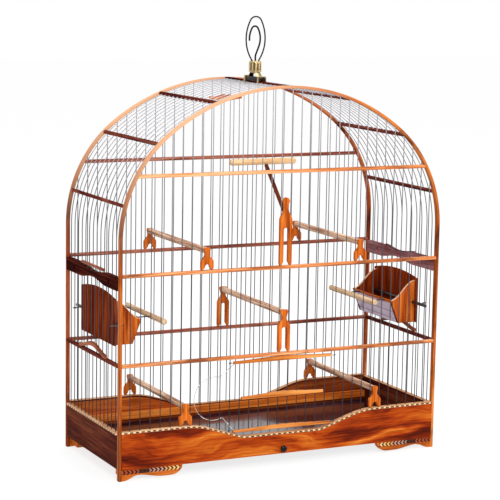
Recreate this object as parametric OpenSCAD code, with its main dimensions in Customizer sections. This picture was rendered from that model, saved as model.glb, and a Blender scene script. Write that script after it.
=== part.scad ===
// Arched wooden wire cage for a small bird, on four low bracket feet, with a swivel hook on the ridge.
// Millimetres. +Z up, front towards -Y, origin on the floor under the middle of the cage.

/* [Cage] */
// Width between the middles of the two posts of a hoop
cage_w = 560; // [540:1:580]
// Depth between the front and back wire planes
cage_d = 228.7; // [222:0.1:236]
// Height of the hoops' middle line at the crown
arch_top = 604.3; // [596:0.1:612]
// Height at which the straight posts start to bend
spring_z = 372.7; // [366:0.1:380]
// Radius of the crown, the flat middle part of the arch
crown_r = 325.5; // [320:0.5:334]
// Thickness of a hoop, measured outwards
hoop_t = 4.5; // [4:0.1:5]
// Width of a hoop from front to back
hoop_w = 9; // [8.6:0.1:10]

/* [Wires] */
// Number of wires in the front and in the back
front_count = 32; // [32:1:32]
// Number of wires in each side and across the roof
side_count = 13; // [13:1:13]
// Radius of the cage wires
wire_r = 0.72; // [0.5:0.01:0.9]
// Radial room of a wire in its drilled hole
wire_room = 0.08; // [0.05:0.01:0.1]

/* [Rails] */
// Height of the lower rails' middle
lower_z = 180.4; // [178:0.1:183]
// Height of the waist rails' middle
waist_z = 320; // [318:0.1:322]
// Height of the upper rails' middle
upper_z = 472.2; // [468:0.1:476]
// Height of a rail's section
rail_h = 5.5; // [5:0.1:6]
// Depth of a front or back rail's section
rail_d = 7; // [6:0.1:8]

/* [Base] */
// Height of the front and back panels' top edge at the corners
panel_end_z = 77.5; // [76:0.1:79]
// Height of the panels' top edge in the middle dip
panel_dip_z = 52; // [50:0.1:54]
// Half-length of the flat middle dip
dip_half = 65; // [62:1:70]
// Slope of the panels' top edge between the dip and the crown, in degrees
edge_slope = 18.2; // [17:0.1:20]
// Height of the side panels' top edge
side_panel_z = 75; // [74:0.1:76]
// Thickness of the side panels
side_panel_t = 8.25; // [8:0.05:8.5]
// Height of the inlaid edging on top of the panels
edging_h = 3.4; // [3:0.1:3.6]
// Height of the bracket feet
foot_h = 17; // [16:0.1:17.2]
// Height above the floor of a foot's inner lobe
lobe_z = 2.2; // [1.5:0.1:3]
// Height of the tray floor's upper face
tray_z = 33.2; // [33:0.1:33.4]

/* [Front door] */
// Half-width of the opening that the front door's own wires close
door_half = 80; // [78:1:82]

/* [Perches] */
// Radius of the dowels
dowel_r = 5; // [4.5:0.1:5.2]
// Height of a short perch fork
fork_short = 35; // [34:1:38]
// Height of the long forks of the middle perch
fork_long = 68; // [64:1:72]
// Height of the tall fork of the T-perch
fork_tall = 108; // [104:1:112]

/* [Feeders] */
// Width of a feeder's back board
feeder_w = 144; // [140:1:148]
// How far the feeder's lip stands out from its back board
lip_out = 46; // [44:1:50]

/* [Hook] */
// Height of the top of the hook's outer loop
hook_top = 711; // [709:0.1:713]

/* [Hidden] */
$fn = 48;
arc_fn = 180;
wire_fn = 20;

half_w = cage_w / 2;
half_d = cage_d / 2;
inner_d = half_d - hoop_w / 2;
outer_d = half_d + hoop_w / 2;
post_in = half_w - hoop_t / 2;
post_out = half_w + hoop_t / 2;
pitch_x = cage_w / (front_count + 1);
pitch_y = cage_d / (side_count + 1);
hole_r = wire_r + wire_room;
blind = 14;

// Heights of the cross rails on each side of the roof, lowest first.
cross_right = [430.2, 524.4, 584.2];
cross_left = [427, 520, 581.2];

// The arch has three centres: a side arc from each post, and the crown between them.
crown_c = arch_top - crown_r;
side_r = (crown_r * crown_r - half_w * half_w - pow(spring_z - crown_c, 2)) / (2 * crown_r - cage_w);
side_c = half_w - side_r;
turn = atan2(spring_z - crown_c, side_c);
function arch_z(x) = abs(x) > crown_r * cos(turn)
    ? spring_z + sqrt(side_r * side_r - pow(abs(x) - side_c, 2))
    : crown_c + sqrt(crown_r * crown_r - x * x);
function arch_angle(z) = z < crown_c + crown_r * sin(turn)
    ? asin((z - spring_z) / side_r) : asin((z - crown_c) / crown_r);
function arch_x(a) = a < turn ? side_c + side_r * cos(a) : crown_r * cos(a);
function arch_h(a) = a < turn ? spring_z + side_r * sin(a) : crown_c + crown_r * sin(a);

function wire_x(k) = (k - (front_count + 1) / 2) * pitch_x;
function wire_y(j) = (j - (side_count + 1) / 2) * pitch_y;
function in_door(x) = abs(x) < door_half;
// Each gate takes the place of six side wires, half a pitch off the middle.
gate_y = pitch_y / 2;
gate_half = 45;
function in_gate(y) = abs(y - gate_y) < gate_half;
gate_x = half_w + 2.5;

function reverse(v) = [for (i = [len(v) - 1 : -1 : 0]) v[i]];
// The wavy top edge of the front and back panels: a small arc out of the dip, a straight slope,
// and a large arc into the crown.
dip_r = 30;
top_r = 150;
dip_end = dip_half + dip_r * sin(edge_slope);
slope_z = panel_dip_z + dip_r * (1 - cos(edge_slope));
top_start = dip_end + (panel_end_z - slope_z - top_r * (1 - cos(edge_slope))) / tan(edge_slope);
crown_half = top_start + top_r * sin(edge_slope);
function panel_top(x) =
    abs(x) <= dip_half ? panel_dip_z :
    abs(x) >= crown_half ? panel_end_z :
    abs(x) < dip_end ? panel_dip_z + dip_r - sqrt(dip_r * dip_r - pow(abs(x) - dip_half, 2)) :
    abs(x) < top_start ? slope_z + (abs(x) - dip_end) * tan(edge_slope) :
    panel_end_z - top_r + sqrt(top_r * top_r - pow(crown_half - abs(x), 2));
edge_half = concat([for (i = [0 : 4]) dip_half + (dip_end - dip_half) * i / 4],
    [for (i = [0 : 10]) top_start + (crown_half - top_start) * i / 10], [post_in]);
edge_x = concat([for (x = reverse(edge_half)) -x], edge_half);
// A raised-cosine bump of height 1 in the middle, falling to 0 at the ends of -h..h.
function bump(u, h) = (1 + cos(180 * u / h)) / 2;

module both_sides() { children(); mirror([1, 0, 0]) children(); }
module turned() { rotate([0, 0, 180]) children(); }
module front_and_back() { children(); mirror([0, 1, 0]) children(); }

// Sweeps a flat profile round the Y axis from angle a0 to a1.
module ring(r, a0, a1) {
    rotate([90, 0, 0]) rotate([0, 0, a0])
        rotate_extrude(angle = a1 - a0, $fn = arc_fn) translate([r, 0]) children();
}
// Sweeps a profile along the right half of the arch, between two angles of its normal.
module along_arch(a0, a1) {
    if (a0 < turn) translate([side_c, 0, spring_z]) ring(side_r, a0, min(a1, turn)) children();
    if (a1 > turn) translate([0, 0, crown_c]) ring(crown_r, max(a0, turn), a1) children();
}
// A bar of rectangular section w by h with bevelled edges, along Y.
module bar(w, h, length, bevel = 1) {
    rotate([90, 0, 0]) linear_extrude(length, center = true)
        polygon([[-w / 2 + bevel, -h / 2], [w / 2 - bevel, -h / 2], [w / 2, -h / 2 + bevel],
            [w / 2, h / 2 - bevel], [w / 2 - bevel, h / 2], [-w / 2 + bevel, h / 2],
            [-w / 2, h / 2 - bevel], [-w / 2, -h / 2 + bevel]]);
}
// A plate cut from an outline in X and Z, of thickness t, its middle on y = 0.
module plate_xz(t) { rotate([90, 0, 0]) linear_extrude(t, center = true) children(); }
// A plate cut from an outline in Y and Z, of thickness t, its middle on x = 0.
module plate_yz(t) { rotate([90, 0, 90]) linear_extrude(t, center = true) children(); }
// A straight round rod between two points.
module rod(p, q, r) {
    v = q - p;
    translate(p) rotate([0, acos(v[2] / norm(v)), atan2(v[1], v[0])]) cylinder(h = norm(v), r = r);
}
// A bent wire: each step is [0, length] for a straight, or [radius, angle, roll] for an arc
// that bends towards +X, turned about the wire by roll. A seam leaves hairline joints between arcs.
module bent_wire(steps, r, seam = 0, i = 0) {
    if (i < len(steps)) {
        s = steps[i];
        if (s[0] == 0) {
            cylinder(h = s[1] - seam, r = r);
            translate([0, 0, s[1]]) bent_wire(steps, r, seam, i + 1);
        } else rotate([0, 0, s[2]]) {
            translate([s[0], 0, 0]) mirror([1, 0, 0]) ring(s[0], 0, s[1] - seam / s[0] * 57.3) circle(r);
            translate([s[0] * (1 - cos(s[1])), 0, s[0] * sin(s[1])]) rotate([0, s[1], 0])
                rotate([0, 0, -s[2]]) bent_wire(steps, r, seam, i + 1);
        }
    }
}

// ---- Hoops, rails and plates ----

// Straight facets in a quarter of a hoop: an even number of degrees each.
hoop_steps = 45;

module hoop_band() {
    right = [for (i = [0 : hoop_steps]) let (a = 90 * i / hoop_steps)
        [arch_x(a), arch_h(a), hoop_t / 2 * cos(a), hoop_t / 2 * sin(a)]];
    outer = concat([[post_out, 0]], [for (p = right) [p[0] + p[2], p[1] + p[3]]]);
    inner = concat([[post_in, 0]], [for (p = right) [p[0] - p[2], p[1] - p[3]]]);
    plate_xz(hoop_w) polygon(concat(outer, [for (p = reverse(outer)) [-p[0], p[1]]],
        [for (p = inner) [-p[0], p[1]]], reverse(inner)));
}
module hoop() {
    difference() {
        hoop_band();
        for (k = [1 : front_count])
            translate([wire_x(k), 0, arch_z(wire_x(k)) - blind])
                cylinder(h = blind + 0.3, r = hole_r, $fn = wire_fn);
    }
}
module front_hoop() color([0.72, 0.36, 0.13]) translate([0, -half_d, 0]) hoop();
module back_hoop() color([0.72, 0.36, 0.13]) translate([0, half_d, 0]) hoop();

module rail_holes(z) {
    for (k = [1 : front_count])
        translate([wire_x(k), 0, z]) cylinder(h = 3 * rail_h, r = hole_r, center = true, $fn = wire_fn);
}
module rail_set() {
    for (z = [lower_z, waist_z]) difference() {
        translate([0, 0, z]) rotate([0, 0, 90]) bar(rail_d, rail_h, 2 * post_in);
        rail_holes(z);
    }
    difference() {
        intersection() {
            translate([0, 0, upper_z]) rotate([0, 0, 90]) bar(rail_d, rail_h, cage_w);
            union() {
                both_sides() translate([side_c, 0, spring_z]) rotate([90, 0, 0])
                    cylinder(h = 2 * rail_d, r = side_r - hoop_t / 2 - 0.1, center = true, $fn = arc_fn);
                translate([0, 0, upper_z]) cube([2 * side_c, 2 * rail_d, 2 * rail_h], center = true);
            }
        }
        for (k = [2 : front_count - 1])
            translate([wire_x(k), 0, upper_z])
                cylinder(h = 3 * rail_h, r = hole_r, center = true, $fn = wire_fn);
    }
}
module front_rails() color([0.78, 0.42, 0.18]) translate([0, -half_d, 0]) rail_set();
module back_rails() color([0.45, 0.18, 0.12]) translate([0, half_d, 0]) rail_set();

side_rail_in = 277;
plate_in = 276;
plate_out = 284.2;
module side_rail() {
    difference() {
        translate([(side_rail_in + plate_out) / 2, 0, lower_z])
            bar(plate_out - side_rail_in, rail_h, 2 * inner_d);
        for (j = [1 : side_count]) translate([half_w, wire_y(j), lower_z])
            cylinder(h = 3 * rail_h, r = hole_r, center = true, $fn = wire_fn);
    }
}
module side_rails() color([0.45, 0.18, 0.12]) both_sides() side_rail();

// Waist plate: full height at both ends and narrow behind the gate.
plate_low = 297.5;
plate_high = 318;
plate_dip = 5.7;
plate_rise = 6.5;
narrow_half = 58;
function narrowing(y) = abs(y - gate_y) < narrow_half ? bump(y - gate_y, narrow_half) : 0;
plate_hole_y = 74.5;
plate_hole_r = 3.5;
plate_mid_z = 307;
module waist_plate() {
    steps = 24;
    ys = concat([-inner_d], [for (i = [0 : steps]) gate_y - narrow_half + 2 * narrow_half * i / steps],
        [inner_d]);
    difference() {
        translate([(plate_in + plate_out) / 2, 0, 0]) plate_yz(plate_out - plate_in)
            polygon(concat([for (y = ys) [y, plate_low + plate_rise * narrowing(y)]],
                [for (y = reverse(ys)) [y, plate_high - plate_dip * narrowing(y)]]));
        for (j = [1 : side_count]) {
            translate([half_w, wire_y(j), plate_mid_z])
                cylinder(h = 40, r = hole_r, center = true, $fn = wire_fn);
            if (in_gate(wire_y(j))) translate([gate_x, wire_y(j), plate_mid_z])
                cylinder(h = 40, r = hole_r, center = true, $fn = wire_fn);
        }
        for (y = [-plate_hole_y, plate_hole_y]) translate([half_w, y, plate_mid_z])
            rotate([0, 90, 0]) cylinder(h = 20, r = plate_hole_r, center = true);
    }
}
module right_waist_plate() color([0.3, 0.1, 0.09]) waist_plate();
module left_waist_plate() color([0.3, 0.1, 0.09]) turned() waist_plate();

module cross_rail(z) {
    a = arch_angle(z);
    translate([arch_x(a), 0, arch_h(a)]) rotate([0, -a, 0]) difference() {
        bar(rail_h, rail_h, 2 * inner_d);
        for (j = [1 : side_count]) translate([0, wire_y(j), 0])
            cylinder(h = 3 * rail_h, r = hole_r, center = true, $fn = wire_fn);
    }
}
module roof_cross_rails() color([0.4, 0.14, 0.1]) {
    for (z = cross_right) cross_rail(z);
    for (z = cross_left) mirror([1, 0, 0]) cross_rail(z);
}
ridge_w = 9;
ridge_h = 5;
module ridge_bar() color([0.3, 0.1, 0.08]) difference() {
    translate([0, 0, arch_top]) bar(ridge_w, ridge_h, 2 * inner_d);
    for (j = [1 : side_count]) translate([0, wire_y(j), arch_top]) rotate([0, 90, 0])
        cylinder(h = 3 * ridge_w, r = hole_r, center = true, $fn = wire_fn);
}

// ---- Wires ----

module upright(x, y, z0, z1) {
    translate([x, y, z0]) cylinder(h = z1 - z0, r = wire_r, $fn = wire_fn);
}
module face_wires(has_door) {
    for (k = [1 : front_count]) {
        x = wire_x(k);
        z0 = has_door && in_door(x) ? lower_z - rail_h / 2 + 0.3 : panel_top(x) - blind + 0.3;
        upright(x, 0, z0, arch_z(x));
    }
}
module front_wires() color([0.3, 0.31, 0.34]) translate([0, -half_d, 0]) face_wires(true);
module back_wires() color([0.3, 0.31, 0.34]) translate([0, half_d, 0]) face_wires(false);

module side_wires(first_cross) {
    for (j = [1 : side_count]) {
        y = wire_y(j);
        foot = side_panel_z - blind + 0.3;
        if (in_gate(y)) upright(half_w, y, foot, lower_z + rail_h / 2 - 0.3);
        z0 = in_gate(y) ? plate_low + plate_rise + 0.5 : foot;
        upright(half_w, y, z0, spring_z);
        translate([0, y, 0]) along_arch(0, arch_angle(first_cross)) circle(wire_r, $fn = wire_fn);
    }
}
module right_side_wires() color([0.3, 0.31, 0.34]) side_wires(cross_right[0]);
module left_side_wires() color([0.3, 0.31, 0.34]) turned() side_wires(cross_left[0]);

// Each roof wire is one length per bay, and the lengths stop just short of each other in the rails.
end_gap = 0.06;
module roof_half(cross) {
    stops = concat([for (z = cross) arch_angle(z)], [90]);
    for (j = [1 : side_count]) for (i = [0 : len(stops) - 2])
        translate([0, wire_y(j), 0])
            along_arch(stops[i] + end_gap, stops[i + 1] - end_gap) circle(wire_r, $fn = wire_fn);
}
module roof_wires() color([0.3, 0.31, 0.34]) {
    roof_half(cross_right);
    mirror([1, 0, 0]) roof_half(cross_left);
}

// ---- Base ----

tray_slot_z = 34;
module panel_outline(z0, cut) {
    polygon(concat([[-post_in, z0], [post_in, z0]],
        [for (x = reverse(edge_x)) [x, panel_top(x) - cut]]));
}
module panel_wire_holes(has_door) {
    for (k = [1 : front_count]) if (!(has_door && in_door(wire_x(k))))
        translate([wire_x(k), 0, panel_top(wire_x(k)) - blind])
            cylinder(h = 2 * blind, r = hole_r, $fn = wire_fn);
}
module front_panel() color([0.72, 0.33, 0.1]) translate([0, -half_d, 0]) difference() {
    plate_xz(hoop_w) panel_outline(tray_slot_z, edging_h);
    panel_wire_holes(true);
}
module back_panel() color([0.6, 0.26, 0.1]) translate([0, half_d, 0]) difference() {
    plate_xz(hoop_w) panel_outline(foot_h, edging_h);
    panel_wire_holes(false);
}
side_panel_in = post_out - side_panel_t;
side_panel_low = 18;
module side_wire_holes() {
    for (j = [1 : side_count]) translate([half_w, wire_y(j), side_panel_z - blind])
        cylinder(h = 2 * blind, r = hole_r, $fn = wire_fn);
}
module side_panel() {
    difference() {
        translate([side_panel_in, -inner_d, side_panel_low])
            cube([side_panel_t, 2 * inner_d, side_panel_z - edging_h - side_panel_low]);
        side_wire_holes();
    }
}
module right_panel() color([0.35, 0.15, 0.09]) side_panel();
module left_panel() color([0.35, 0.15, 0.09]) mirror([1, 0, 0]) side_panel();

// Cream and black edging on the top edge of all four panels.
module panel_edging() color([0.85, 0.72, 0.5]) {
    for (side = [-1, 1]) translate([0, side * half_d, 0]) difference() {
        plate_xz(hoop_w) polygon(concat([for (x = edge_x) [x, panel_top(x) - edging_h]],
            [for (x = reverse(edge_x)) [x, panel_top(x)]]));
        panel_wire_holes(side < 0);
    }
    both_sides() difference() {
        translate([side_panel_in, -inner_d, side_panel_z - edging_h])
            cube([side_panel_t, 2 * inner_d, edging_h]);
        side_wire_holes();
    }
}

// Bracket foot: a small pad at the corner, a long ogee, then a rounded lobe just off the floor.
pad = 3.5;
ogee_top = 28;
ogee_end = 70;
ogee_rise = 7.7;
lobe_run = 20;
foot_len = 103;
inlay_t = 1.2;
inlay_h = 6.3;
inlay_top = 16.6;
inlay_len = 97;
module foot() {
    translate([post_in, 0, 0]) mirror([1, 0, 0]) plate_xz(hoop_w) polygon(concat([[0, foot_h], [0, 0]],
        [for (i = [0 : 8]) let (u = pad + (ogee_top - pad) * i / 8)
            [u, ogee_rise * bump(u - ogee_top, ogee_top - pad)]],
        [for (i = [1 : 10]) let (u = ogee_top + (ogee_end - ogee_top) * i / 10)
            [u, lobe_z + (ogee_rise - lobe_z) * bump(u - ogee_top, ogee_end - ogee_top)]],
        [for (a = [0 : 7.5 : 90])
            [foot_len - lobe_run * (1 - sin(a)), lobe_z + (foot_h - lobe_z) * (1 - cos(a))]]));
}
module foot_strip() {
    translate([post_in - inlay_len - 1, -hoop_w / 2, inlay_top - inlay_h])
        cube([inlay_len, inlay_t, inlay_h]);
}
module corner_feet() color([0.74, 0.36, 0.12]) front_and_back() both_sides()
    translate([0, -half_d, 0]) difference() { foot(); foot_strip(); }
module foot_inlay() color([0.8, 0.66, 0.42]) front_and_back() both_sides()
    translate([0, -half_d, 0]) foot_strip();

// Hidden strips under the tray board, and the glue blocks that carry the feet.
runner_z = 29.7;
runner_w = 12;
module tray_runners() color([0.55, 0.33, 0.17]) both_sides() {
    translate([side_panel_in - runner_w, -inner_d, side_panel_low])
        cube([runner_w, 2 * inner_d, runner_z - side_panel_low]);
    front_and_back() translate([side_panel_in - runner_w - 4, -inner_d, 4])
        cube([runner_w + 4, 25, side_panel_low - 4.05]);
}
module back_ledge() color([0.85, 0.5, 0.22])
    translate([-side_panel_in, inner_d - 8, 39]) cube([2 * side_panel_in, 8, 11]);

// ---- Tray ----

module tray_board() color([0.25, 0.16, 0.2])
    translate([-side_panel_in + 2, -outer_d + 5, runner_z + 0.2])
        cube([2 * side_panel_in - 4, outer_d - 5 + inner_d - 2, tray_z - runner_z - 0.2]);
module tray_front() color([0.75, 0.37, 0.12])
    translate([-post_in + 0.5, -outer_d, foot_h + 0.3])
        cube([2 * post_in - 1, 5, tray_slot_z - foot_h - 0.7]);
module tray_knob() color([0.1, 0.06, 0.05]) translate([0, -outer_d, 26]) rotate([90, 0, 0])
    rotate_extrude() polygon(concat([[0, 0], [3.4, 0], [2.4, 1.2], [2.4, 2.4]],
        [for (a = [-50 : 20 : 90]) [5.6 * cos(a), 5.4 + 3.2 * sin(a)]]));

// ---- Front door: hinged on the wire beside its left edge ----

hinge_x = wire_x(11);
door_t = 5;
leaf_half = 87;
slat_low = [leaf_half, 58.4, 4, 2.5];
slat_mid = [73, 111, 4.5, 3.5];
slat_high = [leaf_half, 169.5, 4.2, 3];
module door_slat(s) {
    steps = 20;
    xs = [for (i = [0 : steps]) -s[0] + 2 * s[0] * i / steps];
    difference() {
        plate_xz(door_t) polygon(concat([[-s[0], s[1]], [s[0], s[1]]],
            [for (x = reverse(xs)) [x, s[1] + s[2] + s[3] * bump(x, s[0])]]));
        for (k = [1 : front_count]) if (abs(wire_x(k)) < s[0] - 2 && in_door(wire_x(k)))
            translate([wire_x(k), 0, s[1] - 1]) cylinder(h = 20, r = hole_r, $fn = wire_fn);
        spring_ends(spring_r + wire_room);
    }
}
module door_slats() color([0.85, 0.5, 0.22]) translate([0, -half_d, 0])
    for (s = [slat_low, slat_mid, slat_high]) door_slat(s);
module door_wires() color([0.3, 0.31, 0.34]) for (k = [1 : front_count]) if (in_door(wire_x(k)))
    upright(wire_x(k), -half_d, slat_low[1] + 0.3, slat_high[1] + slat_high[2] - 0.3);
eye_r = 1.9;
eye_h = 3;
module door_eyes() color([0.35, 0.35, 0.38]) translate([0, -half_d, 0]) {
    for (z = [slat_low[1] + 2.4, slat_high[1] + 0.3]) {
        difference() {
            union() {
                translate([hinge_x, 0, z]) cylinder(h = eye_h, r = eye_r);
                translate([hinge_x, -0.8, z]) cube([-leaf_half - hinge_x, 1.6, eye_h]);
            }
            translate([hinge_x, 0, z - 1]) cylinder(h = eye_h + 2, r = hole_r);
        }
        translate([leaf_half, -eye_r, z + 0.4]) cube([-hinge_x - leaf_half + 2, 0.9, 1.6]);
    }
}
// Bow spring of fine wire: its C bears on the inside of the wires and its arms hold the leaf.
spring_r = 0.5;
spring_y = 3.3;
bow_c = [-118.5, 116];
bow_r = 35;
bow_a = [75, 294];
arm_high = [-81, 171.6];
arm_low = [-83.5, 60.6];
function bow_end(i) = bow_c + bow_r * [cos(bow_a[i]), sin(bow_a[i])];
module spring_ends(r) {
    for (p = [arm_high, arm_low])
        rod([p[0], spring_y - spring_r - 0.02, p[1]], [p[0], 0.5, p[1]], r);
}
module door_spring() color([0.75, 0.76, 0.78]) translate([0, -half_d, 0]) {
    $fn = wire_fn;
    translate([bow_c[0], spring_y, bow_c[1]]) ring(bow_r, bow_a[0], bow_a[1]) circle(spring_r);
    for (i = [0, 1]) {
        e = bow_end(i);
        p = [arm_high, arm_low][i];
        step = 1.2 * (p - e) / norm(p - e);
        rod([e[0] + step[0], spring_y, e[1] + step[1]], [p[0], spring_y, p[1]], spring_r);
    }
    spring_ends(spring_r);
}

// ---- Side gates: they slide up in the waist plates ----

gate_in = 281.2;
gate_out = 285.4;
head_slat_half = 47;
foot_slat_half = 57;
foot_slat_z = 183.4;
// Bottom, top and sag of each head slat: the right one lies in the dip of its waist plate, and the
// left one is straight and stands clear.
head_right = [318.2, 320, plate_dip];
head_left = [319.6, 323.6, 0];
function head_z(head, i, u) = head[i] - head[2] * bump(u, narrow_half);
module gate_slats(head) {
    steps = 20;
    us = [for (i = [0 : steps]) -head_slat_half + 2 * head_slat_half * i / steps];
    ys = [for (i = [0 : steps]) -foot_slat_half + 2 * foot_slat_half * i / steps];
    difference() {
        translate([0, gate_y, 0]) {
            translate([(gate_in + gate_out) / 2, 0, 0]) plate_yz(gate_out - gate_in)
                polygon(concat([for (u = us) [u, head_z(head, 0, u)]],
                    [for (u = reverse(us)) [u, head_z(head, 1, u)]]));
            translate([(gate_in + gate_out) / 2, 0, 0]) plate_yz(gate_out - gate_in)
                polygon(concat(
                    [for (y = ys) [y, foot_slat_z + 9.5 * bump(y, foot_slat_half)]],
                    [for (y = reverse(ys)) [y, foot_slat_z + 5.6 + 11 * bump(y, foot_slat_half)]]));
        }
        for (j = [1 : side_count]) if (in_gate(wire_y(j)))
            translate([gate_x, wire_y(j), foot_slat_z - 1]) cylinder(h = 160, r = hole_r, $fn = wire_fn);
    }
}
module gate_wires(head) {
    for (j = [1 : side_count]) if (in_gate(wire_y(j)))
        upright(gate_x, wire_y(j), foot_slat_z + 9.5 * bump(wire_y(j) - gate_y, foot_slat_half) + 0.5,
            head_z(head, 1, wire_y(j) - gate_y) - 0.3);
}
module right_gate_slats() color([0.55, 0.22, 0.1]) gate_slats(head_right);
module left_gate_slats() color([0.55, 0.22, 0.1]) turned() gate_slats(head_left);
module right_gate_wires() color([0.3, 0.31, 0.34]) gate_wires(head_right);
module left_gate_wires() color([0.3, 0.31, 0.34]) turned() gate_wires(head_left);

// ---- Perches ----

fork_t = 6;
leg_out = 10.7;
leg_gap = 4;
neck_w = 3.9;
lip_h = 1.8;
head_r = 5;
groove = 1.2;
seat = 0.1;
// Fork seen from the front, standing on z = 0: flat flared head or a round one, waisted neck,
// shoulders at height shoulder, and two pointed legs with a round-topped gap of height leg_h.
module fork_outline(h, leg_h, shoulder, head, round_head) {
    neck_z = (h + shoulder) / 2;
    flat_top = concat([[head - 1.3, h]],
        [for (i = [0 : 6]) let (t = i / 6)
            [head + (neck_w - head) * (1 - cos(180 * t)) / 2, h - lip_h + (neck_z - h + lip_h) * t]]);
    round_top = concat([for (a = [0 : 15 : 135]) [head * sin(a), h - head + head * cos(a)]],
        [[neck_w, neck_z]]);
    half = concat(round_head ? round_top : flat_top,
        [for (i = [1 : 8]) let (t = i / 8)
            [neck_w + (leg_out - neck_w) * (1 - cos(180 * t)) / 2, neck_z + (shoulder - neck_z) * t]],
        [[leg_out, 3], [leg_out - 1.3, 0], [leg_out - 3, 0], [leg_gap, min(6, leg_h - leg_gap - 0.5)]],
        [for (a = [0 : 15 : 75]) [leg_gap * cos(a), leg_h - leg_gap + leg_gap * sin(a)]], [[0, leg_h]]);
    polygon(concat(half, [for (i = [len(half) - 2 : -1 : 0]) [-half[i][0], half[i][1]]]));
}
module fork(h, leg_h, shoulder, head, round_head = false) {
    difference() {
        plate_xz(fork_t) fork_outline(h, leg_h, shoulder, head, round_head);
        for (s = [-1, 1]) translate([s * pitch_x / 2 - groove, -groove, -1])
            cube([2 * groove, fork_t, h]);
    }
}
module fork_pair(x, z, h, leg_h, shoulder, head) {
    for (side = [0, 1]) mirror([0, side, 0])
        translate([x, -half_d, z + seat]) fork(h, leg_h, shoulder, head);
}
module short_forks(x, z) color(fork_color) fork_pair(x, z, fork_short, 9, 12.5, 5.2);
module perch_dowel(x, z, h) {
    translate([x, 0, z + seat + h - head_r]) rotate([90, 0, 0])
        cylinder(h = cage_d - fork_t, r = dowel_r, center = true);
}
upper_x = wire_x(8.5);
lower_x = wire_x(6.5);
waist_top = waist_z + rail_h / 2;
lower_top = lower_z + rail_h / 2;
fork_color = [0.8, 0.38, 0.1];
dowel_color = [0.82, 0.66, 0.48];
module upper_left_forks() short_forks(upper_x, waist_top);
module upper_left_dowel() color(dowel_color) perch_dowel(upper_x, waist_top, fork_short);
module upper_right_forks() short_forks(-upper_x, waist_top);
module upper_right_dowel() color(dowel_color) perch_dowel(-upper_x, waist_top, fork_short);
module middle_forks() color(fork_color) fork_pair(0, lower_top, fork_long, 40, 41, 6.6);
module middle_dowel() color(dowel_color) perch_dowel(0, lower_top, fork_long);
module lower_left_forks() short_forks(lower_x, panel_end_z);
module lower_left_dowel() color(dowel_color) perch_dowel(lower_x, panel_end_z, fork_short);
module lower_right_forks() short_forks(-lower_x, panel_end_z);
module lower_right_dowel() color(dowel_color) perch_dowel(-lower_x, panel_end_z, fork_short);

// T-perch: a tall fork on the front waist rail, a slanting arm and a cross bar.
tee_y = 78;
tee_arm_z = [82, 157];
tee_arm_r = 3.2;
tee_bar_half = 58;
tee_bar_shift = -3;
module tee_fork() color(fork_color)
    translate([0, -half_d, waist_top + seat]) fork(fork_tall, 60, 72, 5.8, true);
module tee_rod(r) {
    rod([0, fork_t / 2, tee_arm_z[0]], [0, tee_y, tee_arm_z[1]], r);
}
module tee_arm() color([0.35, 0.14, 0.08]) translate([0, -half_d, waist_top + seat]) difference() {
    tee_rod(tee_arm_r);
    translate([-10, -10, 0]) cube([20, 10 + fork_t / 2, 200]);
    translate([0, tee_y, tee_arm_z[1]]) rotate([0, 90, 0]) cylinder(h = 40, r = dowel_r, center = true);
}
module tee_bar() color([0.8, 0.5, 0.25])
    translate([tee_bar_shift, tee_y - half_d, waist_top + seat + tee_arm_z[1]]) rotate([0, 90, 0])
        cylinder(h = 2 * tee_bar_half, r = dowel_r, center = true);

// ---- Feeders, hung on the side wires: the left one is the right one turned half round ----

feeder_out = 273;
back_t = 3;
feeder_z = 204;
lip_z = 243;
cheek_z = 275;
shoulder_z = 278;
crest_z = 286;
cheek_y = feeder_w / 2 - 8;
cheek_t = 4;
floor_out = 31;
floor_t = 4;
front_t = 1.6;
hang_x = feeder_out - back_t - 3.5;
hang_z = 238.5;
hang_front = -108;
hang_back = 88;
hang_r = 2.6;
lip_bar = 4;
stick_x = 197;
stick_front = -62;
stick_back = 94;
stick_r = 4.5;
bracket_y = 42;
bracket_r = 1;
clip_r = 0.9;
clip_bend = 2.4;
clip_y = wire_y(12);
inner_x = feeder_out - back_t;
// The lip bar's middle: brackets leave it towards the stick.
lip_x = inner_x - lip_out + lip_bar / 2;
module cheek_outline() {
    polygon(concat([[inner_x, feeder_z], [inner_x - floor_out, feeder_z]],
        [for (i = [0 : 12]) let (t = i / 12)
            [inner_x - lip_out * (1 - t), lip_z + (cheek_z - lip_z) * (1 - cos(180 * t)) / 2]]));
}
// The clear front slopes from the lip down to the floor, behind the cheeks' front edges.
module front_sheet_outline(grow = 0) {
    slope = atan2(lip_out - floor_out, lip_z - lip_bar - feeder_z);
    translate([inner_x - floor_out - grow, feeder_z]) rotate(slope)
        square([front_t + 2 * grow, 38.5]);
}
module feeder_boards() {
    translate([feeder_out - back_t / 2, 0, 0]) plate_yz(back_t) polygon(concat(
        [[-feeder_w / 2, feeder_z], [feeder_w / 2, feeder_z]],
        [for (i = [0 : 18]) let (y = feeder_w / 2 - feeder_w * i / 18)
            [y, shoulder_z + (crest_z - shoulder_z) * (1 - pow(2 * y / feeder_w, 2))]]));
    front_and_back() difference() {
        translate([0, cheek_y - cheek_t / 2, 0]) plate_xz(cheek_t) cheek_outline();
        translate([hang_x, 0, hang_z]) rotate([90, 0, 0])
            cylinder(h = 300, r = hang_r + wire_room, center = true);
    }
    translate([inner_x - floor_out + front_t + 0.3, -cheek_y + cheek_t, feeder_z])
        cube([floor_out - front_t - 0.3, 2 * (cheek_y - cheek_t), floor_t]);
    difference() {
        translate([lip_x - lip_bar / 2, -cheek_y + cheek_t, lip_z - lip_bar])
            cube([lip_bar, 2 * (cheek_y - cheek_t), lip_bar]);
        for (y = [-bracket_y, bracket_y]) translate([lip_x - 4, y, lip_z - lip_bar / 2])
            rotate([0, 90, 0]) cylinder(h = 5.1, r = bracket_r + wire_room);
    }
}
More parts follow.
